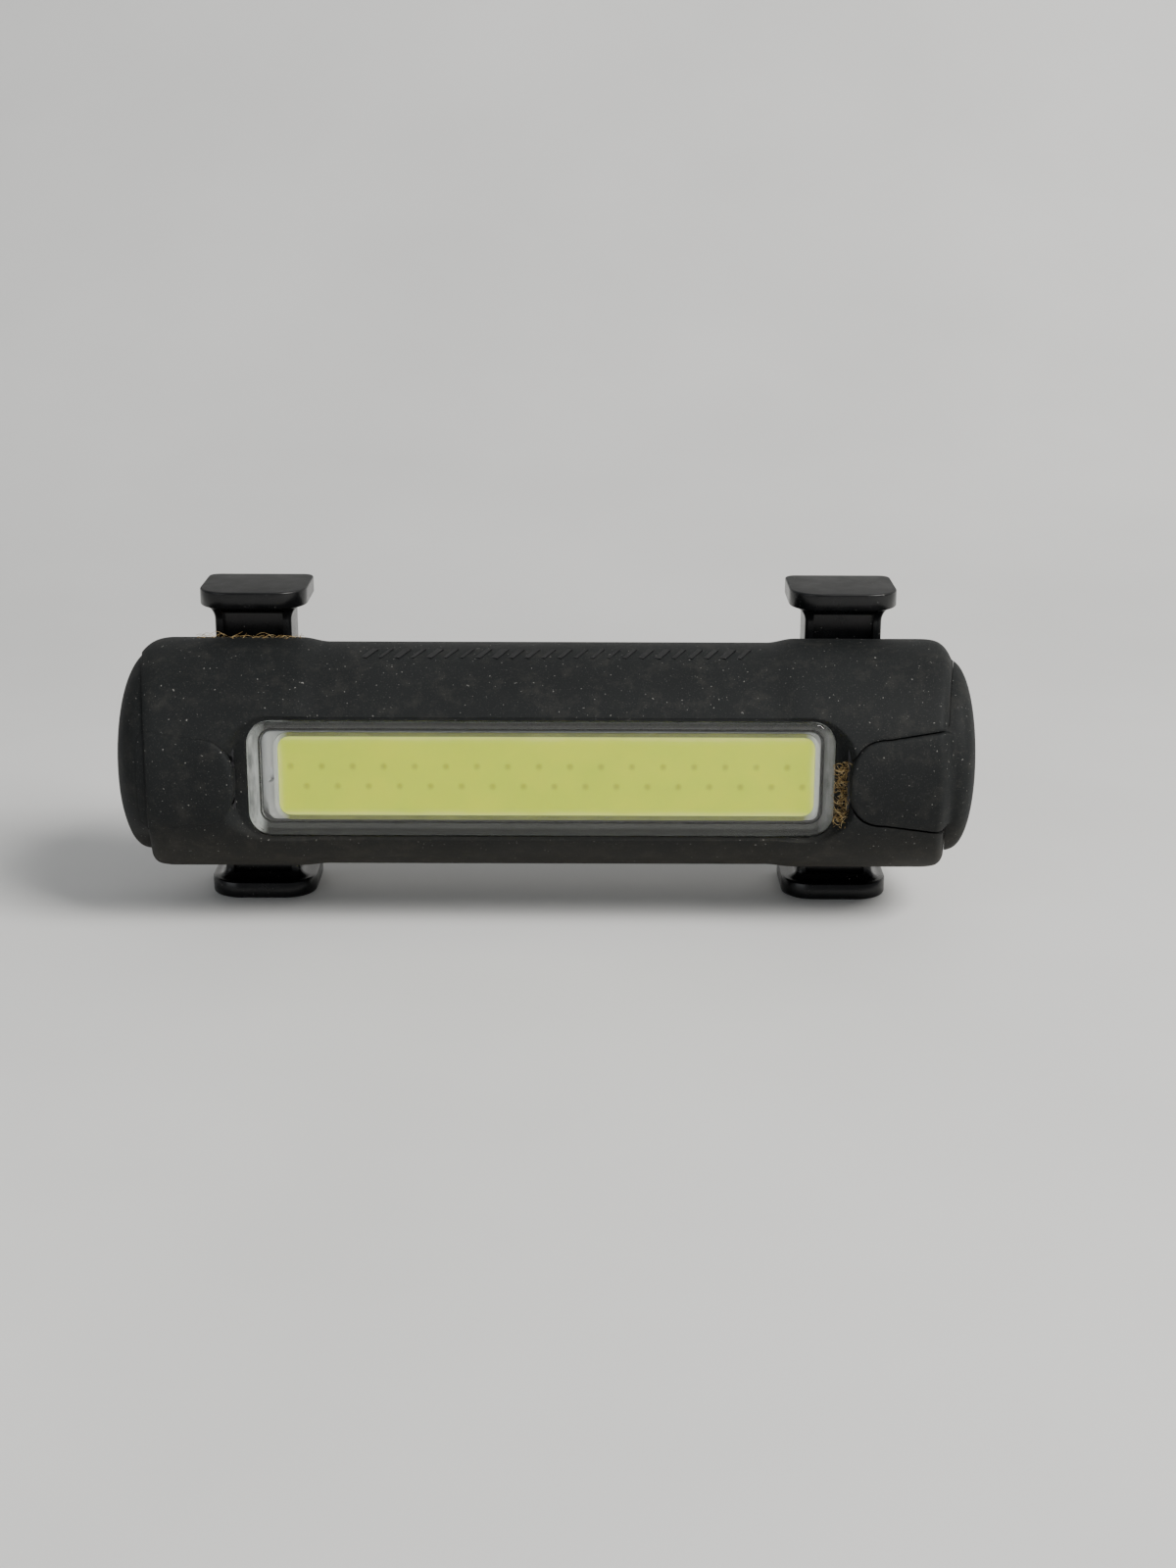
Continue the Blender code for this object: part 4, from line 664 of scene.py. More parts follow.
# ---- materials ----------------------------------------------------------------------------------
class Shader:
    """A Principled material with helpers for its nodes."""

    def __init__(self, name, roughness=0.5, metallic=0.0, specular=0.5):
        self.material = bpy.data.materials.new(name)
        self.material.use_nodes = True
        self.tree = self.material.node_tree
        self.principled = self.tree.nodes["Principled BSDF"]
        self.principled.inputs["Roughness"].default_value = roughness
        self.principled.inputs["Metallic"].default_value = metallic
        self.principled.inputs["Specular IOR Level"].default_value = specular
        self.coordinates = self.tree.nodes.new("ShaderNodeTexCoord")

    def link(self, source, target):
        """Join an output socket to an input socket."""
        self.tree.links.new(source, target)

    def noise(self, scale, detail=3.0, roughness=0.55, stretch=(1.0, 1.0, 1.0)):
        """Noise on the object's own coordinates."""
        mapping = self.tree.nodes.new("ShaderNodeMapping")
        mapping.inputs["Scale"].default_value = stretch
        self.link(self.coordinates.outputs["Object"], mapping.inputs["Vector"])
        node = self.tree.nodes.new("ShaderNodeTexNoise")
        node.inputs["Scale"].default_value = scale
        node.inputs["Detail"].default_value = detail
        node.inputs["Roughness"].default_value = roughness
        self.link(mapping.outputs["Vector"], node.inputs["Vector"])
        return node.outputs["Fac"]

    def steps(self, source, stops):
        """A ramp of grey or coloured stops."""
        node = self.tree.nodes.new("ShaderNodeValToRGB")
        ramp_data = node.color_ramp
        while len(ramp_data.elements) > len(stops):
            ramp_data.elements.remove(ramp_data.elements[-1])
        while len(ramp_data.elements) < len(stops):
            ramp_data.elements.new(1.0)
        for element, (place, colour) in zip(ramp_data.elements, stops):
            element.position = place
            element.color = (*colour, 1.0) if len(colour) == 3 else colour
        self.link(source, node.inputs["Fac"])
        return node.outputs["Color"]

    def grey(self, source, stops):
        """A ramp of plain values."""
        return self.steps(source, [(place, (value, value, value)) for place, value in stops])

    def math(self, operation, a, b=None, c=None):
        """A math node; each operand is a socket or a number."""
        node = self.tree.nodes.new("ShaderNodeMath")
        node.operation = operation
        for index, value in enumerate((a, b, c)):
            if value is None:
                continue
            if isinstance(value, (int, float)):
                node.inputs[index].default_value = value
            else:
                self.link(value, node.inputs[index])
        return node.outputs["Value"]

    def mix(self, factor, a, b):
        """Mix two colours; each is a socket or a triple."""
        node = self.tree.nodes.new("ShaderNodeMix")
        node.data_type = "RGBA"
        for socket, value in ((node.inputs[0], factor), (node.inputs[6], a), (node.inputs[7], b)):
            if isinstance(value, (int, float)):
                socket.default_value = value
            elif isinstance(value, tuple):
                socket.default_value = (*value, 1.0)
            else:
                self.link(value, socket)
        return node.outputs[2]

    def bump(self, source, distance, strength=1.0):
        """Send a height to the surface's normal."""
        node = self.tree.nodes.new("ShaderNodeBump")
        node.inputs["Distance"].default_value = distance
        node.inputs["Strength"].default_value = strength
        self.link(source, node.inputs["Height"])
        self.link(node.outputs["Normal"], self.principled.inputs["Normal"])

    def axes(self):
        """The object coordinates as three sockets."""
        node = self.tree.nodes.new("ShaderNodeSeparateXYZ")
        self.link(self.coordinates.outputs["Object"], node.inputs["Vector"])
        return node.outputs

    def paint(self, colour):
        """Send a colour to the surface."""
        self.link(colour, self.principled.inputs["Base Color"])

    def rough(self, value):
        """Send a value to the roughness."""
        self.link(value, self.principled.inputs["Roughness"])


def rubber_material(name):
    """Charcoal rubber with a fine grain, pale dust specks and brown dust low down."""
    tones = bpy.context.scene.lamp_colours
    s = Shader(name, specular=0.17)
    broad = s.noise(90.0, 4.0)
    base = s.steps(broad, [(0.3, tones.rubber_dark), (0.7, tones.rubber_light)])
    smear = s.noise(420.0, 6.0, 0.75)
    dusty = s.mix(s.grey(smear, [(0.50, 0.0), (0.80, 0.16)]), base, (0.10, 0.092, 0.078))
    fine = s.noise(6500.0, 3.0, 0.6)
    grainy = s.mix(s.grey(fine, [(0.60, 0.0), (0.74, 0.22)]), dusty, tuple(tones.dust))
    dot = s.noise(3600.0, 1.0, 0.4)
    spots = s.mix(s.grey(dot, [(0.745, 0.0), (0.79, 0.45)]), grainy, (0.36, 0.35, 0.33))
    low = s.math("MULTIPLY_ADD", s.axes()[2], -70.0, -0.28)
    brown = s.mix(s.math("MULTIPLY", s.math("MAXIMUM", low, 0.0), smear), spots, (0.045, 0.036, 0.022))
    s.paint(brown)
    s.rough(s.grey(broad, [(0.3, 0.62), (0.7, 0.80)]))
    grain = s.noise(5200.0, 2.0, 0.6)
    s.bump(grain, 0.03 * MM, 0.5)
    return s.material


def gloss_material(name):
    """Black moulded plastic, glossy with a fine haze of dust and hairline scratches."""
    tones = bpy.context.scene.lamp_colours
    s = Shader(name, specular=0.3)
    haze = s.noise(420.0, 4.0, 0.6)
    base = s.steps(haze, [(0.35, tones.gloss_dark), (0.75, tones.gloss_light)])
    speck = s.noise(2600.0, 1.0, 0.5)
    s.paint(s.mix(s.grey(speck, [(0.74, 0.0), (0.80, 0.35)]), base, (0.22, 0.22, 0.21)))
    scratch = s.noise(1500.0, 2.0, 0.5, (0.12, 1.0, 1.0))
    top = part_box("strap_post_upper_left")[1].z
    outer = s.math("SUBTRACT", s.math("ABSOLUTE", s.axes()[2]), top - 0.2 * MM)
    satin = s.grey(s.math("MULTIPLY", outer, 5000.0), [(0.2, 0.0), (0.9, 0.34)])
    s.rough(s.math("ADD", s.grey(haze, [(0.3, 0.20), (0.75, 0.30)]), satin))
    s.bump(scratch, 0.006 * MM, 0.6)
    return s.material


def clear_material(name):
    """Clear plastic with a little haze and fine scratches."""
    tones = bpy.context.scene.lamp_colours
    s = Shader(name, specular=0.12)
    s.principled.inputs["IOR"].default_value = 1.49
    s.principled.inputs["Transmission Weight"].default_value = 1.0
    haze = s.noise(350.0, 4.0, 0.6, (0.5, 1.0, 1.0))
    s.paint(s.steps(haze, [(0.3, tones.lens_clear), (0.8, tones.lens_haze)]))
    s.rough(s.grey(haze, [(0.35, 0.02), (0.8, 0.09)]))
    scratch = s.noise(900.0, 2.0, 0.5, (1.0, 1.0, 0.15))
    s.bump(scratch, 0.004 * MM, 0.5)
    return s.material


def phosphor_material(name):
    """Yellow silicone over the chips, paler along its border, with a faint mark over each chip, and a
    painted glow: it gives off its own colour, though the lamp is off, in place of the light the lens keeps
    from it.
    """
    tones = bpy.context.scene.lamp_colours
    low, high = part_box("cob_phosphor")
    centre_x = (low.x + high.x) / 2
    half_x = (high.x - low.x) / 2
    half_z = (high.z - low.z) / 2
    s = Shader(name, roughness=0.55, specular=0.04)
    x, _, z = s.axes()
    along = s.math("ABSOLUTE", s.math("SUBTRACT", x, centre_x))
    inset_x = s.math("SUBTRACT", half_x, along)
    inset_z = s.math("SUBTRACT", half_z, s.math("ABSOLUTE", z))
    edge = s.math("MULTIPLY", s.math("MINIMUM", inset_x, inset_z), 1000.0)
    wobble = s.math("MULTIPLY", s.noise(260.0, 3.0), 0.5)
    edge = s.math("ADD", edge, s.math("SUBTRACT", wobble, 0.25))
    body = s.steps(s.noise(140.0, 3.0), [(0.3, tones.phosphor_dark), (0.7, tones.phosphor_light)])
    pale = s.mix(s.grey(edge, [(0.05, 0.75), (0.45, 0.12), (0.85, 0.0)]), body, (0.78, 0.84, 0.22))
    marks = []
    for row, shift in ((1.1, 0.0), (-1.1, 1.65)):
        wave = s.math("PINGPONG", s.math("ADD", x, (shift + 80.0) * MM), 1.65 * MM)
        across = s.math("SUBTRACT", z, row * MM)
        squared = s.math("ADD", s.math("MULTIPLY", wave, wave), s.math("MULTIPLY", across, across))
        marks.append(s.math("MULTIPLY", s.math("SQRT", squared), 1000.0))
    nearest = s.math("MINIMUM", marks[0], marks[1])
    marked = s.mix(s.grey(nearest, [(0.0, 0.6), (0.25, 0.4), (0.50, 0.0)]), pale, (0.30, 0.33, 0.0))
    s.paint(marked)
    # painted light: the phosphor glows with its own colour at half strength, though the lamp is off, to
    # stand in for the light the lens keeps from it
    s.link(marked, s.principled.inputs["Emission Color"])
    s.principled.inputs["Emission Strength"].default_value = 0.5
    s.rough(s.grey(s.noise(500.0), [(0.3, 0.5), (0.7, 0.65)]))
    s.bump(s.noise(420.0, 2.0), 0.02 * MM, 0.4)
    return s.material


def plain_material(name, dark, light, roughness, metallic=0.0, scale=300.0, grain=1800.0, bump=0.02):
    """A moulded, painted or drawn surface: two close tones, a varied gloss and a fine grain."""
    s = Shader(name, metallic=metallic)
    tone = s.noise(scale, 4.0)
    s.paint(s.steps(tone, [(0.3, dark), (0.7, light)]))
    s.rough(s.grey(tone, [(0.3, max(roughness - 0.07, 0.03)), (0.7, min(roughness + 0.09, 1.0))]))
    s.bump(s.noise(grain, 2.0), bump * MM, 0.5)
    return s.material


def dam_material(name):
    """The silicone dam round the phosphor: pale at its ends, and along its long sides painted shade from the
    rubber's lip mixed with a painted yellow reflection of the phosphor.
    """
    low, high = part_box("cob_phosphor")
    s = Shader(name, roughness=0.45, specular=0.4)
    x, _, _ = s.axes()
    along = s.math("ABSOLUTE", s.math("SUBTRACT", x, (low.x + high.x) / 2))
    outward = s.math("MULTIPLY", s.math("SUBTRACT", along, (high.x - low.x) / 2 - 1.2 * MM), 700.0)
    # painted shade and painted yellow reflection: the dark yellow that covers the white dam along its long
    # sides
    tone = s.steps(s.noise(300.0, 3.0), [(0.3, (0.20, 0.22, 0.02)), (0.7, (0.28, 0.30, 0.04))])
    s.paint(s.mix(s.grey(outward, [(0.1, 0.0), (0.9, 1.0)]), tone, (0.90, 0.92, 0.88)))
    s.bump(s.noise(900.0), 0.01 * MM, 0.4)
    return s.material


def gasket_material(name):
    """The lens's gasket: dark along its long sides, white at the left end and grey at the right."""
    low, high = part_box("lens_gasket")
    s = Shader(name, roughness=0.6, specular=0.3)
    x, _, _ = s.axes()
    left = s.math("MULTIPLY", s.math("SUBTRACT", low.x + 1.9 * MM, x), 900.0)
    right = s.math("MULTIPLY", s.math("SUBTRACT", x, high.x - 1.6 * MM), 900.0)
    tone = s.steps(s.noise(300.0, 3.0), [(0.3, (0.012, 0.014, 0.010)), (0.7, (0.022, 0.024, 0.018))])
    streak = s.noise(1300.0, 3.0, 0.6, (1.0, 0.2, 0.2))
    pale = s.steps(streak, [(0.35, (0.30, 0.31, 0.31)), (0.6, (0.80, 0.81, 0.80))])
    whitened = s.mix(s.grey(left, [(0.0, 0.0), (0.7, 1.0)]), tone, pale)
    s.paint(s.mix(s.grey(right, [(0.0, 0.0), (0.8, 0.35)]), whitened, pale))
    s.bump(streak, 0.01 * MM, 0.4)
    return s.material


def fibre_material(name):
    """Dry lint, from straw to brown along the scatter."""
    s = Shader(name, roughness=0.8, specular=0.2)
    tone = s.noise(1500.0, 2.0)
    middle = bpy.context.scene.lamp_colours.lint
    s.paint(s.steps(tone, [(0.3, (0.10, 0.06, 0.02)), (0.5, middle), (0.7, (0.68, 0.54, 0.30))]))
    s.bump(s.noise(9000.0), 0.002 * MM, 0.5)
    return s.material


SLOT_TONES = {
    "inner_plastic": ((0.016, 0.016, 0.018), (0.026, 0.026, 0.029), 0.45, 0.0),
    "white_silicone": ((0.74, 0.75, 0.72), (0.86, 0.86, 0.84), 0.45, 0.0),
    "white_mask": ((0.80, 0.81, 0.80), (0.90, 0.90, 0.89), 0.35, 0.0),
    "chip": ((0.30, 0.28, 0.08), (0.42, 0.40, 0.16), 0.3, 0.0),
    "aluminium": ((0.68, 0.69, 0.71), (0.82, 0.83, 0.84), 0.35, 1.0),
    "steel": ((0.48, 0.49, 0.51), (0.62, 0.63, 0.64), 0.28, 1.0),
    "green_mask": ((0.012, 0.10, 0.035), (0.025, 0.16, 0.065), 0.35, 0.0),
    "epoxy_black": ((0.012, 0.012, 0.013), (0.020, 0.020, 0.022), 0.5, 0.0),
    "ceramic": ((0.38, 0.27, 0.17), (0.52, 0.39, 0.27), 0.45, 0.0),
    "ferrite": ((0.045, 0.045, 0.05), (0.075, 0.075, 0.08), 0.6, 0.0),
    "pouch": ((0.55, 0.56, 0.57), (0.70, 0.71, 0.72), 0.3, 1.0),
    "grey_pad": ((0.020, 0.022, 0.020), (0.035, 0.038, 0.034), 0.8, 0.0),
    "foam": ((0.03, 0.03, 0.03), (0.065, 0.065, 0.065), 0.9, 0.0),
    "red_wire": ((0.38, 0.012, 0.010), (0.56, 0.025, 0.02), 0.4, 0.0),
    "black_wire": ((0.014, 0.014, 0.014), (0.026, 0.026, 0.026), 0.4, 0.0),
    "lamp_white": ((0.80, 0.81, 0.75), (0.90, 0.90, 0.86), 0.3, 0.0),
}


SPECIAL_FINISHES = {
    "rubber": rubber_material,
    "gloss_black": gloss_material,
    "clear_plastic": clear_material,
    "phosphor": phosphor_material,
    "dam": dam_material,
    "gasket": gasket_material,
}


def finish_named(slot_name):
    """The finish for a material slot, made the first time it is asked for."""
    name = "finish_" + slot_name
    if name in bpy.data.materials:
        return bpy.data.materials[name]
    if slot_name in SPECIAL_FINISHES:
        return SPECIAL_FINISHES[slot_name](name)
    dark, light, roughness, metallic = SLOT_TONES[slot_name]
    return plain_material(name, dark, light, roughness, metallic)


def finish_piece(item, slot_name, body, node, sharp):
    """Shade a piece, give it its finish and slot, and put it on its body in place of a CAD node."""
    smooth(item, sharp)
    item.data.materials.clear()
    item.data.materials.append(finish_named(slot_name))
    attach(item, body)
    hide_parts(node)


# ---- operators ----------------------------------------------------------------------------------
class LAMP_OT_sleeve(bpy.types.Operator):
    """Build the rubber sleeve"""

    bl_idname = "lamp.sleeve"
    bl_label = "Rubber Sleeve"

    def execute(self, context):
        sizes = context.scene.lamp_sizes
        place = Place(sizes)
        grid = body_grid(sizes, place, all_stations(sizes), pocket=True)
        sleeve = loop_solid("sleeve_skin", grid, place.offset)
        core = inner_core(sizes, place, "core")
        tools = [core, cover_region(sizes, place, "cover_room", sizes.seam_gap / 3)]
        window = rounded_rectangle(
            place.lens_x,
            place.lens_half_length + 0.08 * MM,
            place.lens_half_height + 0.08 * MM,
            sizes.lens_corner + 0.08 * MM,
        )
        tools.append(prism("window", window, -FAR, 0.0, 1, place.offset))
        tongue = tongue_outline(sizes, sizes.seam_gap, sizes.cap_end + 4 * MM)
        tools.append(prism("tongue_room", tongue, -FAR, -sizes.body_radius / 2, 1, place.offset))
        tools.append(prism("button_room", button_outline(sizes, 0.02 * MM), -FAR, 0.0, 1, place.offset))
        for side in ("left", "right"):
            low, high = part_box("saddle_pad_" + side)
            grow = 0.1 * MM
            outline = rounded_rectangle(
                (low.x + high.x) / 2, (high.x - low.x) / 2 + grow, (high.z - low.z) / 2 + grow, 1.6 * MM
            )
            tools.append(prism("pad_room_" + side, outline, low.y - grow, 10 * MM, 1))
            centre = post_centre(side)
            half = sizes.stem_half + grow
            for level in (-1, 1):
                near, far = sorted((level * 7.5 * MM, level * 20 * MM))
                tools.append(block(
                    "stem_room_%s_%d" % (side, level + 1),
                    (centre - half, place.axis_y + sizes.stem_front - grow, near),
                    (centre + half, place.axis_y + sizes.stem_back + grow, far),
                ))
        combine(sleeve, tools, "DIFFERENCE")
        finish_piece(sleeve, "rubber", "lamp_body", "rubber_sleeve", 38)
        return {"FINISHED"}


class LAMP_OT_cover(bpy.types.Operator):
    """Build the port cover with its tongue, dome and plug"""

    bl_idname = "lamp.port_cover"
    bl_label = "Port Cover"

    def execute(self, context):
        sizes = context.scene.lamp_sizes
        place = Place(sizes)
        start = np.arange(30.0 * MM, sizes.step_front - 0.1 * MM, 0.2 * MM)
        stations = np.concatenate((start, [sizes.step_front - 0.01 * MM], end_stations(sizes)))
        grid = body_grid(sizes, place, stations, tongue=True)
        cover = loop_solid("cover_skin", grid, place.offset)
        region = cover_region(sizes, place, "cover_region", 0.0)
        tongue = tongue_outline(sizes, 0.0, sizes.cap_end + 4 * MM)
        strip = prism("tongue_strip", tongue, -FAR, -sizes.body_radius / 2, 1, place.offset)
        combine(region, [strip], "UNION")
        combine(cover, [region], "INTERSECT")
        combine(cover, [inner_core(sizes, place, "core")], "DIFFERENCE")
        low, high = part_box("usb_socket")
        mouth = rounded_rectangle(0.0, 1.5 * MM, (high.z - low.z) / 2 - 0.1 * MM, 1.3 * MM, 6)
        centre_y = (low.y + high.y) / 2
        rings = []
        for x in (high.x + 1.1 * MM, sizes.cap_end - 0.6 * MM):
            rings.append([(x, centre_y + a, b) for a, b in mouth])
        combine(cover, [loop_solid("plug", rings)], "UNION")
        finish_piece(cover, "rubber", "port_cover", "port_cover", 38)
        return {"FINISHED"}


class LAMP_OT_button(bpy.types.Operator):
    """Build the power button"""

    bl_idname = "lamp.power_button"
    bl_label = "Power Button"

    def execute(self, context):
        sizes = context.scene.lamp_sizes
        place = Place(sizes)
        low = sizes.button_tip - 1.5 * MM
        high = sizes.button_tip + sizes.button_length + 1.0 * MM
        grid = body_grid(sizes, place, -np.arange(high, low, -0.2 * MM), button=True)
        button = loop_solid("button_skin", grid, place.offset)
        outline = button_outline(sizes, 0.0)
        shape = prism("button_shape", outline, -FAR, -sizes.body_radius / 2, 1, place.offset)
        combine(button, [shape], "INTERSECT")
        core = inner_core(sizes, place, "core")
        core.data.transform(Matrix.Translation((0.0, -sizes.button_room, 0.0)))
        combine(button, [core], "DIFFERENCE")
        low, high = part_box("switch_plunger")
        centre = (low.x + high.x) / 2
        turns = np.linspace(0.0, 2 * math.pi, 24, endpoint=False)
        rings = []
        for y in (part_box("power_button")[1].y, place.axis_y - sizes.body_radius + sizes.sleeve_wall / 4):
            rings.append([(centre + 1.5 * MM * math.cos(a), y, 1.5 * MM * math.sin(a)) for a in turns])
        combine(button, [loop_solid("stub", rings)], "UNION")
        finish_piece(button, "rubber", "power_button", "power_button", 38)
        return {"FINISHED"}


def plan_outline(half, front, back, front_corner, back_corner):
    """A rounded rectangle in plan, as (x, y) points; its front and back corners differ."""
    points = []
    corners = (
        (1, back, back_corner, -1),
        (-1, back, back_corner, -1),
        (-1, front, front_corner, 1),
        (1, front, front_corner, 1),
    )
    for number, (side, edge, corner, toward) in enumerate(corners):
        for step in range(13):
            angle = math.radians(90 * number + 90 * step / 12)
            points.append((
                side * (half - corner) + corner * math.cos(angle),
                edge + toward * corner + corner * math.sin(angle),
            ))
    return np.array(points)


class LAMP_OT_posts(bpy.types.Operator):
    """Build the four strap posts"""

    bl_idname = "lamp.strap_posts"
    bl_label = "Strap Posts"

    def execute(self, context):
        sizes = context.scene.lamp_sizes
        place = Place(sizes)
        for side in ("left", "right"):
            for level in ("upper", "lower"):
                self.build(sizes, place, side, level)
        return {"FINISHED"}

    def build(self, sizes, place, side, level):
        """One post, from its root in the housing to its head."""
        name = "strap_post_%s_%s" % (level, side)
        low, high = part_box(name)
        sign = 1 if level == "upper" else -1
        centre = (low.x + high.x) / 2
        outer = max(abs(low.z), abs(high.z))
        root = min(abs(low.z), abs(high.z))
        under = outer - sizes.head_thickness
        flare = sizes.stem_flare
        least = 0.3 * MM

        def head(shrink):
            return plan_outline(
                (high.x - low.x) / 2 - shrink,
                low.y - place.axis_y + shrink,
                high.y - place.axis_y - shrink,
                max(sizes.head_front_corner - shrink, least),
                max(sizes.head_back_corner - shrink, least),
            )

        corner = sizes.stem_corner
        stem = plan_outline(sizes.stem_half, sizes.stem_front, sizes.stem_back, corner, corner)
        levels = [(root, stem), (under - flare, stem)]
        for step in range(1, 9):
            angle = math.radians(90 * step / 8)
            share = 1 - math.cos(angle)
            levels.append((under - flare + flare * math.sin(angle), stem + (head(0.25 * MM) - stem) * share))
        levels.append((under + 0.06 * MM, head(0.08 * MM)))
        levels.append((under + 0.16 * MM, head(0.0)))
        for step in range(7):
            angle = math.radians(90 * step / 6)
            height = outer - sizes.head_edge * (1 - math.sin(angle))
            levels.append((height, head(sizes.head_edge * (1 - math.cos(angle)))))
        rings = []
        for height, outline in levels:
            rings.append([(centre + x, place.axis_y + y, sign * height) for x, y in outline])
        post = loop_solid("post_" + level + "_" + side, rings)
        half = sizes.stem_half - sizes.stem_rib
        near, far = sorted((sign * (sizes.body_radius - 2.5 * MM), sign * (under - flare * 0.45)))
        core = block(
            "core",
            (centre - half, place.axis_y, near),
            (centre + half, place.axis_y + sizes.stem_front + sizes.stem_rib, far),
        )
        combine(post, [core], "DIFFERENCE")
        finish_piece(post, "gloss_black", "lamp_body", name, 40)


class LAMP_OT_lens(bpy.types.Operator):
    """Build the clear lens, a shallow cup with rounded edges"""

    bl_idname = "lamp.lens"
    bl_label = "Lens"

    def execute(self, context):
        sizes = context.scene.lamp_sizes
        place = Place(sizes)
        face = place.lens_face
        mouth = place.lens_mouth
        half_x = place.lens_half_length
        half_z = place.lens_half_height
        rings = []

        def add_ring(y, shrink):
            corner = max(sizes.lens_corner - shrink, 0.25 * MM)
            outline = rounded_rectangle(place.lens_x, half_x - shrink, half_z - shrink, corner, 12)
            rings.append([(a, place.axis_y + y, b) for a, b in outline])

        wall = sizes.lens_wall
        ceiling = face + sizes.lens_plate
        inner_round = 0.5 * MM
        add_ring(ceiling, wall + 2.2 * MM)
        for step in range(7):
            angle = math.radians(90 * step / 6)
            level = ceiling + inner_round * (1 - math.cos(angle))
            add_ring(level, wall + inner_round * (1 - math.sin(angle)))
        add_ring(mouth, wall)
        add_ring(mouth, 0.0)
        for step in range(8):
            angle = math.radians(90 * step / 7)
            add_ring(face + sizes.lens_edge * (1 - math.sin(angle)), sizes.lens_edge * (1 - math.cos(angle)))
        add_ring(face, 2.4 * MM)
        lens = loop_solid("lens_cup", rings)
        finish_piece(lens, "clear_plastic", "lamp_body", "lens", 30)
        return {"FINISHED"}


class LAMP_OT_finishes(bpy.types.Operator):
    """Give every CAD node that is still shown its finish"""

    bl_idname = "lamp.finishes"
    bl_label = "Finishes"

    def execute(self, context):
        for item in context.scene.objects:
            if "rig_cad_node" not in item:
                continue
            for slot in item.material_slots:
                name = slot.material.name.split(".")[0]
                if not name.startswith("finish_"):
                    slot.material = finish_named(PIECE_MATERIALS.get(item["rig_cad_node"], name))
        return {"FINISHED"}


# ---- scattered details --------------------------------------------------------------------------
class Nodes:
    """A Geometry Nodes tree, built node by node."""

    def __init__(self, name, inputs):
        self.group = bpy.data.node_groups.new(name, "GeometryNodeTree")
        sockets = self.group.interface
        sockets.new_socket(name="Geometry", in_out="OUTPUT", socket_type="NodeSocketGeometry")
        for label, kind, default in inputs:
            socket = sockets.new_socket(name=label, in_out="INPUT", socket_type="NodeSocket" + kind)
            socket.default_value = default
        self.inputs = self.group.nodes.new("NodeGroupInput").outputs

    def add(self, kind, inputs, **settings):
        """Add a node; each input is a number, a vector or the socket that feeds it."""
        node = self.group.nodes.new(kind)
        for name, value in settings.items():
            setattr(node, name, value)
        for key, value in inputs.items():
            if isinstance(value, bpy.types.NodeSocket):
                self.group.links.new(value, node.inputs[key])
            else:
                node.inputs[key].default_value = value
        return node.outputs

    def finish(self, geometry, material):
        """Realize the instances, set the material and end the tree."""
        real = self.add("GeometryNodeRealizeInstances", {"Geometry": geometry})
        paint = self.add("GeometryNodeSetMaterial", {"Geometry": real["Geometry"], "Material": material})
        self.add("NodeGroupOutput", {"Geometry": paint["Geometry"]})
        return self.group


def bake_nodes(name, group, values):
    """Run a Geometry Nodes tree on an empty mesh and keep the result as a plain mesh on the lamp's body."""
    item = new_object(name, bpy.data.meshes.new(name))
    modifier = item.modifiers.new("nodes", "NODES")
    modifier.node_group = group
    for socket in group.interface.items_tree:
        if socket.item_type == "SOCKET" and socket.in_out == "INPUT" and socket.name in values:
            modifier[socket.identifier] = values[socket.name]
    graph = bpy.context.evaluated_depsgraph_get()
    mesh = bpy.data.meshes.new_from_object(item.evaluated_get(graph))
    item.modifiers.clear()
    item.data = mesh
    if len(mesh.polygons) == 0:
        raise RuntimeError("%s came out empty" % name)
    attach(item, "lamp_body")
    return item


def fibre_tree(material):
    """Fibres scattered through a box, each a thin bent tube."""
    tree = Nodes("fibres", (
        ("Count", "Int", 100),
        ("Low", "Vector", (0.0, 0.0, 0.0)),
        ("High", "Vector", (0.001, 0.001, 0.001)),
        ("Length", "Float", 0.0015),
        ("Radius", "Float", 0.00002),
        ("Tilt", "Float", 0.6),
        ("Seed", "Int", 1),
    ))
    given = tree.inputs
    random_value = "FunctionNodeRandomValue"
    where = tree.add(
        random_value,
        {"Min": given["Low"], "Max": given["High"], "Seed": given["Seed"]},
        data_type="FLOAT_VECTOR",
    )
    points = tree.add("GeometryNodePoints", {"Count": given["Count"], "Position": where["Value"]})
    arc = tree.add("GeometryNodeCurveQuadraticBezier", {
        "Resolution": 5, "Start": (-0.5, 0.0, 0.0), "Middle": (0.0, 0.55, 0.15), "End": (0.5, 0.0, -0.1),
    })
    later = tree.add("ShaderNodeMath", {0: given["Seed"], 1: 7.0}, operation="ADD")
    turn = tree.add(
        random_value,
        {"Min": (-3.14, -1.0, -3.14), "Max": (3.14, 1.0, 3.14), "Seed": later["Value"]},
        data_type="FLOAT_VECTOR",
    )
    spread = tree.add("ShaderNodeCombineXYZ", {"X": 1.0, "Y": given["Tilt"], "Z": given["Tilt"]})
    flat = tree.add("ShaderNodeVectorMath", {0: turn["Value"], 1: spread["Vector"]}, operation="MULTIPLY")
    share = tree.add(random_value, {2: 0.35, 3: 1.2}, data_type="FLOAT")
    scaled = tree.add("ShaderNodeMath", {0: share[1], 1: given["Length"]}, operation="MULTIPLY")
    placed = tree.add("GeometryNodeInstanceOnPoints", {
        "Points": points[0], "Instance": arc["Curve"], "Rotation": flat["Vector"], "Scale": scaled["Value"],
    })
    real = tree.add("GeometryNodeRealizeInstances", {"Geometry": placed["Instances"]})
    ring = tree.add("GeometryNodeCurvePrimitiveCircle", {"Resolution": 4, "Radius": given["Radius"]})
    tube = tree.add("GeometryNodeCurveToMesh", {
        "Curve": real["Geometry"], "Profile Curve": ring["Curve"], "Fill Caps": True,
    })
    return tree.finish(tube["Mesh"], material)


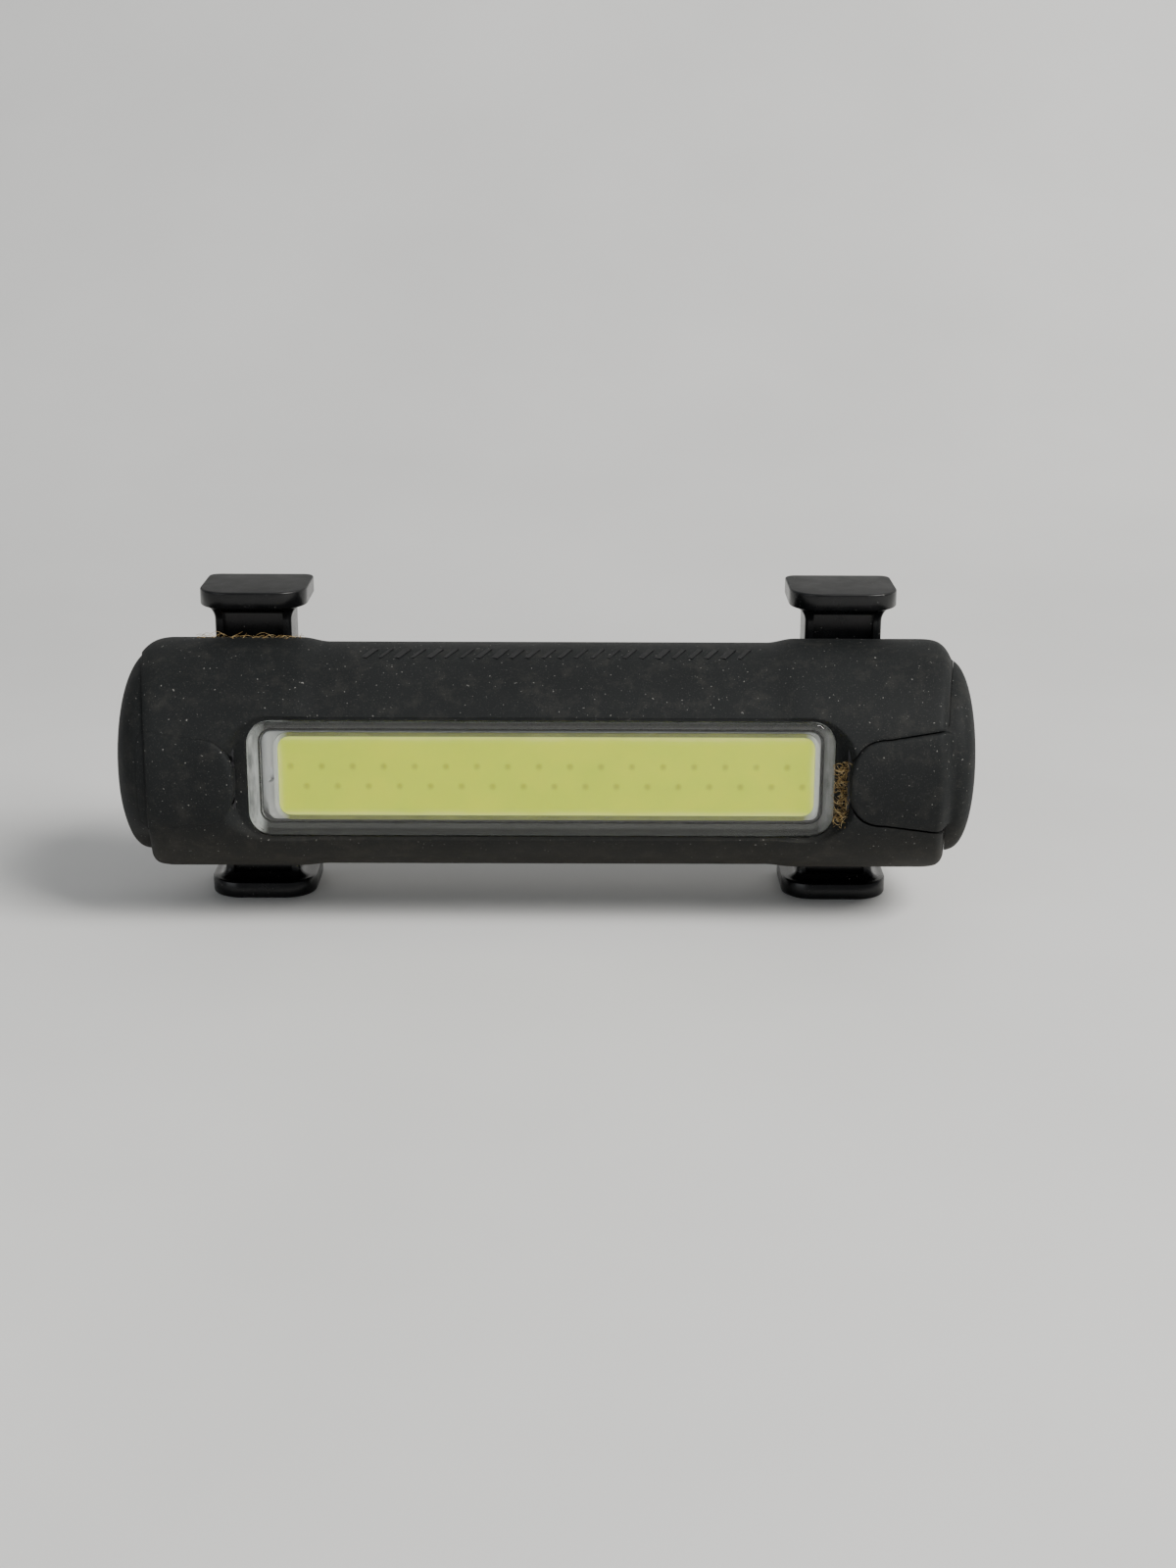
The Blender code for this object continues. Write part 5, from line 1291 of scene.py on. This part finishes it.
class LAMP_OT_lint(bpy.types.Operator):
    """Scatter lint beside the lens and at the foot of the upper left post"""

    bl_idname = "lamp.lint"
    bl_label = "Lint"

    def execute(self, context):
        sizes = context.scene.lamp_sizes
        details = context.scene.lamp_details
        place = Place(sizes)
        group = fibre_tree(fibre_material("finish_lint"))
        face = place.axis_y - sizes.pocket_depth
        end = place.lens_end
        shared = {"Length": details.fibre_length, "Radius": details.fibre_radius, "Seed": details.seed}
        bake_nodes("lint_pocket", group, {
            **shared,
            "Count": details.fibre_count,
            "Low": (end + 0.2 * MM, face - 0.8 * MM, -4.9 * MM),
            "High": (end + 1.4 * MM, face - 0.02 * MM, 2.0 * MM),
            "Tilt": 1.0,
        })
        left = post_centre("left") - sizes.stem_half
        right = post_centre("left") + sizes.stem_half
        top = sizes.body_radius + sizes.shoulder_rise
        foot_y = place.axis_y + sizes.stem_front - 0.4 * MM
        bake_nodes("lint_post", group, {
            **shared,
            "Count": details.base_fibre_count,
            "Low": (left - 1.6 * MM, foot_y - 1.6 * MM, top - 0.55 * MM),
            "High": (right + 1.0 * MM, foot_y, top - 0.05 * MM),
            "Tilt": 0.25,
        })
        return {"FINISHED"}


def bar_tree(material):
    """A row of slanted raised bars that lie on the tube's round top."""
    tree = Nodes("bars", (
        ("Count", "Int", 10),
        ("Pitch", "Float", 0.003),
        ("Centre", "Vector", (0.0, 0.0, 0.0)),
        ("Lean", "Float", 0.5),
        ("Size", "Vector", (0.002, 0.001, 0.0002)),
        ("Seed", "Int", 1),
    ))
    given = tree.inputs
    gaps = tree.add("ShaderNodeMath", {0: given["Count"], 1: 1.0}, operation="SUBTRACT")
    span = tree.add("ShaderNodeMath", {0: gaps["Value"], 1: given["Pitch"]}, operation="MULTIPLY")
    back = tree.add("ShaderNodeMath", {0: span["Value"], 1: -0.5}, operation="MULTIPLY")
    shift = tree.add("ShaderNodeCombineXYZ", {"X": back["Value"]})
    start = tree.add("ShaderNodeVectorMath", {0: given["Centre"], 1: shift["Vector"]}, operation="ADD")
    step = tree.add("ShaderNodeCombineXYZ", {"X": given["Pitch"]})
    row = tree.add("GeometryNodeMeshLine", {
        "Count": given["Count"], "Start Location": start["Vector"], "Offset": step["Vector"],
    })
    bar = tree.add("GeometryNodeMeshCube", {"Size": given["Size"]})
    turn = tree.add("ShaderNodeCombineXYZ", {"X": given["Lean"], "Z": -0.55})
    width = tree.add("FunctionNodeRandomValue", {2: 0.45, 3: 1.25, "Seed": given["Seed"]}, data_type="FLOAT")
    stretch = tree.add("ShaderNodeCombineXYZ", {"X": width[1], "Y": 1.0, "Z": 1.0})
    placed = tree.add("GeometryNodeInstanceOnPoints", {
        "Points": row["Mesh"],
        "Instance": bar["Mesh"],
        "Rotation": turn["Vector"],
        "Scale": stretch["Vector"],
    })
    return tree.finish(placed["Instances"], material)


class LAMP_OT_bars(bpy.types.Operator):
    """Lay a plain row of raised bars along the top"""

    bl_idname = "lamp.raised_bars"
    bl_label = "Raised Bars"

    def execute(self, context):
        sizes = context.scene.lamp_sizes
        details = context.scene.lamp_details
        place = Place(sizes)
        material = plain_material("finish_bars", (0.004, 0.0045, 0.005), (0.008, 0.0085, 0.009), 0.5)
        material.node_tree.nodes["Principled BSDF"].inputs["Specular IOR Level"].default_value = 0.2
        group = bar_tree(material)
        angle = math.radians(13)
        radius = sizes.body_radius - 0.02 * MM
        bars = bake_nodes("raised_bars", group, {
            "Count": details.bar_count,
            "Pitch": details.bar_pitch,
            "Centre": (1.0 * MM, place.axis_y - radius * math.sin(angle), radius * math.cos(angle)),
            "Lean": angle,
            "Size": (0.75 * MM, 2.3 * MM, 0.16 * MM),
            "Seed": details.seed,
        })
        return {"FINISHED"}


# ---- stage --------------------------------------------------------------------------------------
def area_light(name, location, target, size, power, colour):
    """A square soft light aimed at a point."""
    data = bpy.data.lights.new(name, "AREA")
    data.size = size
    data.energy = power
    data.color = colour
    item = bpy.data.objects.new(name, data)
    item.location = location
    item.rotation_euler = (Vector(target) - Vector(location)).to_track_quat("-Z", "Y").to_euler()
    bpy.context.scene.collection.objects.link(item)
    return item


class LAMP_OT_stage(bpy.types.Operator):
    """Set up a pale floor with a curved back, soft lights and the camera"""

    bl_idname = "lamp.stage"
    bl_label = "Stage"

    def execute(self, context):
        settings = context.scene.lamp_stage
        floor_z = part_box("strap_post_lower_left")[0].z
        profile = [(-0.9, floor_z), (0.10, floor_z)]
        for step in range(1, 13):
            angle = math.radians(90 * step / 12)
            profile.append((0.10 + 0.25 * math.sin(angle), floor_z + 0.25 * (1 - math.cos(angle))))
        profile.append((0.35, 1.1))
        mesh = bmesh.new()
        rows = []
        for x in (-1.4, 1.4):
            rows.append([mesh.verts.new((x, y, z)) for y, z in profile])
        for i in range(len(profile) - 1):
            mesh.faces.new((rows[0][i], rows[1][i], rows[1][i + 1], rows[0][i + 1]))
        floor = from_bmesh("floor", mesh)
        smooth(floor, 60)
        pale = ((0.60, 0.60, 0.59), (0.66, 0.66, 0.65))
        floor.data.materials.append(plain_material("finish_floor", *pale, 0.75, scale=12.0, grain=900.0))
        aim = (0.0, -0.012, 0.0)
        lights = (
            ("key", (0.42, -0.32, 0.50), 0.32, settings.key_power, (1.0, 0.98, 0.95)),
            ("fill", (-0.50, -0.50, 0.30), 0.50, settings.fill_power, (0.94, 0.97, 1.0)),
        )
        for name, location, size, power, colour in lights:
            area_light(name, location, aim, size, power, colour)
        world = bpy.data.worlds.new("studio")
        world.use_nodes = True
        background = world.node_tree.nodes["Background"]
        background.inputs["Color"].default_value = (0.93, 0.96, 1.0, 1.0)
        background.inputs["Strength"].default_value = settings.sky
        context.scene.world = world
        camera = bpy.data.cameras.new("camera")
        camera.lens = settings.lens
        camera.sensor_width = 36.0
        camera.clip_start = 0.01
        item = bpy.data.objects.new("camera", camera)
        forward = Vector(CAMERA_FORWARD).normalized()
        look = forward.to_track_quat("-Z", "Y").to_matrix()
        roll = Matrix.Rotation(CAMERA_ROLL, 3, "Z")
        item.matrix_world = Matrix.Translation(CAMERA_PLACE) @ (look @ roll).to_4x4()
        context.scene.collection.objects.link(item)
        context.scene.camera = item
        return {"FINISHED"}


class LAMP_PT_panel(bpy.types.Panel):
    """The lamp's buttons and settings"""

    bl_label = "Led Light Bar"
    bl_idname = "LAMP_PT_panel"
    bl_space_type = "VIEW_3D"
    bl_region_type = "UI"
    bl_category = "Light Bar"

    def draw(self, context):
        layout = self.layout
        for operator in OPERATORS:
            layout.operator(operator.bl_idname)
        for group in SETTINGS:
            settings = getattr(context.scene, group)
            column = layout.box().column(align=True)
            for name in settings.bl_rna.properties.keys():
                if name not in ("rna_type", "name"):
                    column.prop(settings, name)


OPERATORS = (
    LAMP_OT_sleeve,
    LAMP_OT_cover,
    LAMP_OT_button,
    LAMP_OT_posts,
    LAMP_OT_lens,
    LAMP_OT_bars,
    LAMP_OT_lint,
    LAMP_OT_finishes,
    LAMP_OT_stage,
)
SETTINGS = {
    "lamp_sizes": LampSizes,
    "lamp_colours": LampColours,
    "lamp_details": LampDetails,
    "lamp_stage": StageSettings,
}
CLASSES = (*SETTINGS.values(), *OPERATORS, LAMP_PT_panel)


def register():
    """Register the classes and the scene's settings."""
    for item in CLASSES:
        bpy.utils.register_class(item)
    for name, group in SETTINGS.items():
        setattr(bpy.types.Scene, name, bpy.props.PointerProperty(type=group))


def unregister():
    """Remove the scene's settings and the classes."""
    for name in SETTINGS:
        delattr(bpy.types.Scene, name)
    for item in reversed(CLASSES):
        bpy.utils.unregister_class(item)


def main():
    """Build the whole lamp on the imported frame."""
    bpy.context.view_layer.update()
    register()
    for operator in OPERATORS:
        group, name = operator.bl_idname.split(".")
        getattr(getattr(bpy.ops, group), name)()


if __name__ == "__main__":
    main()
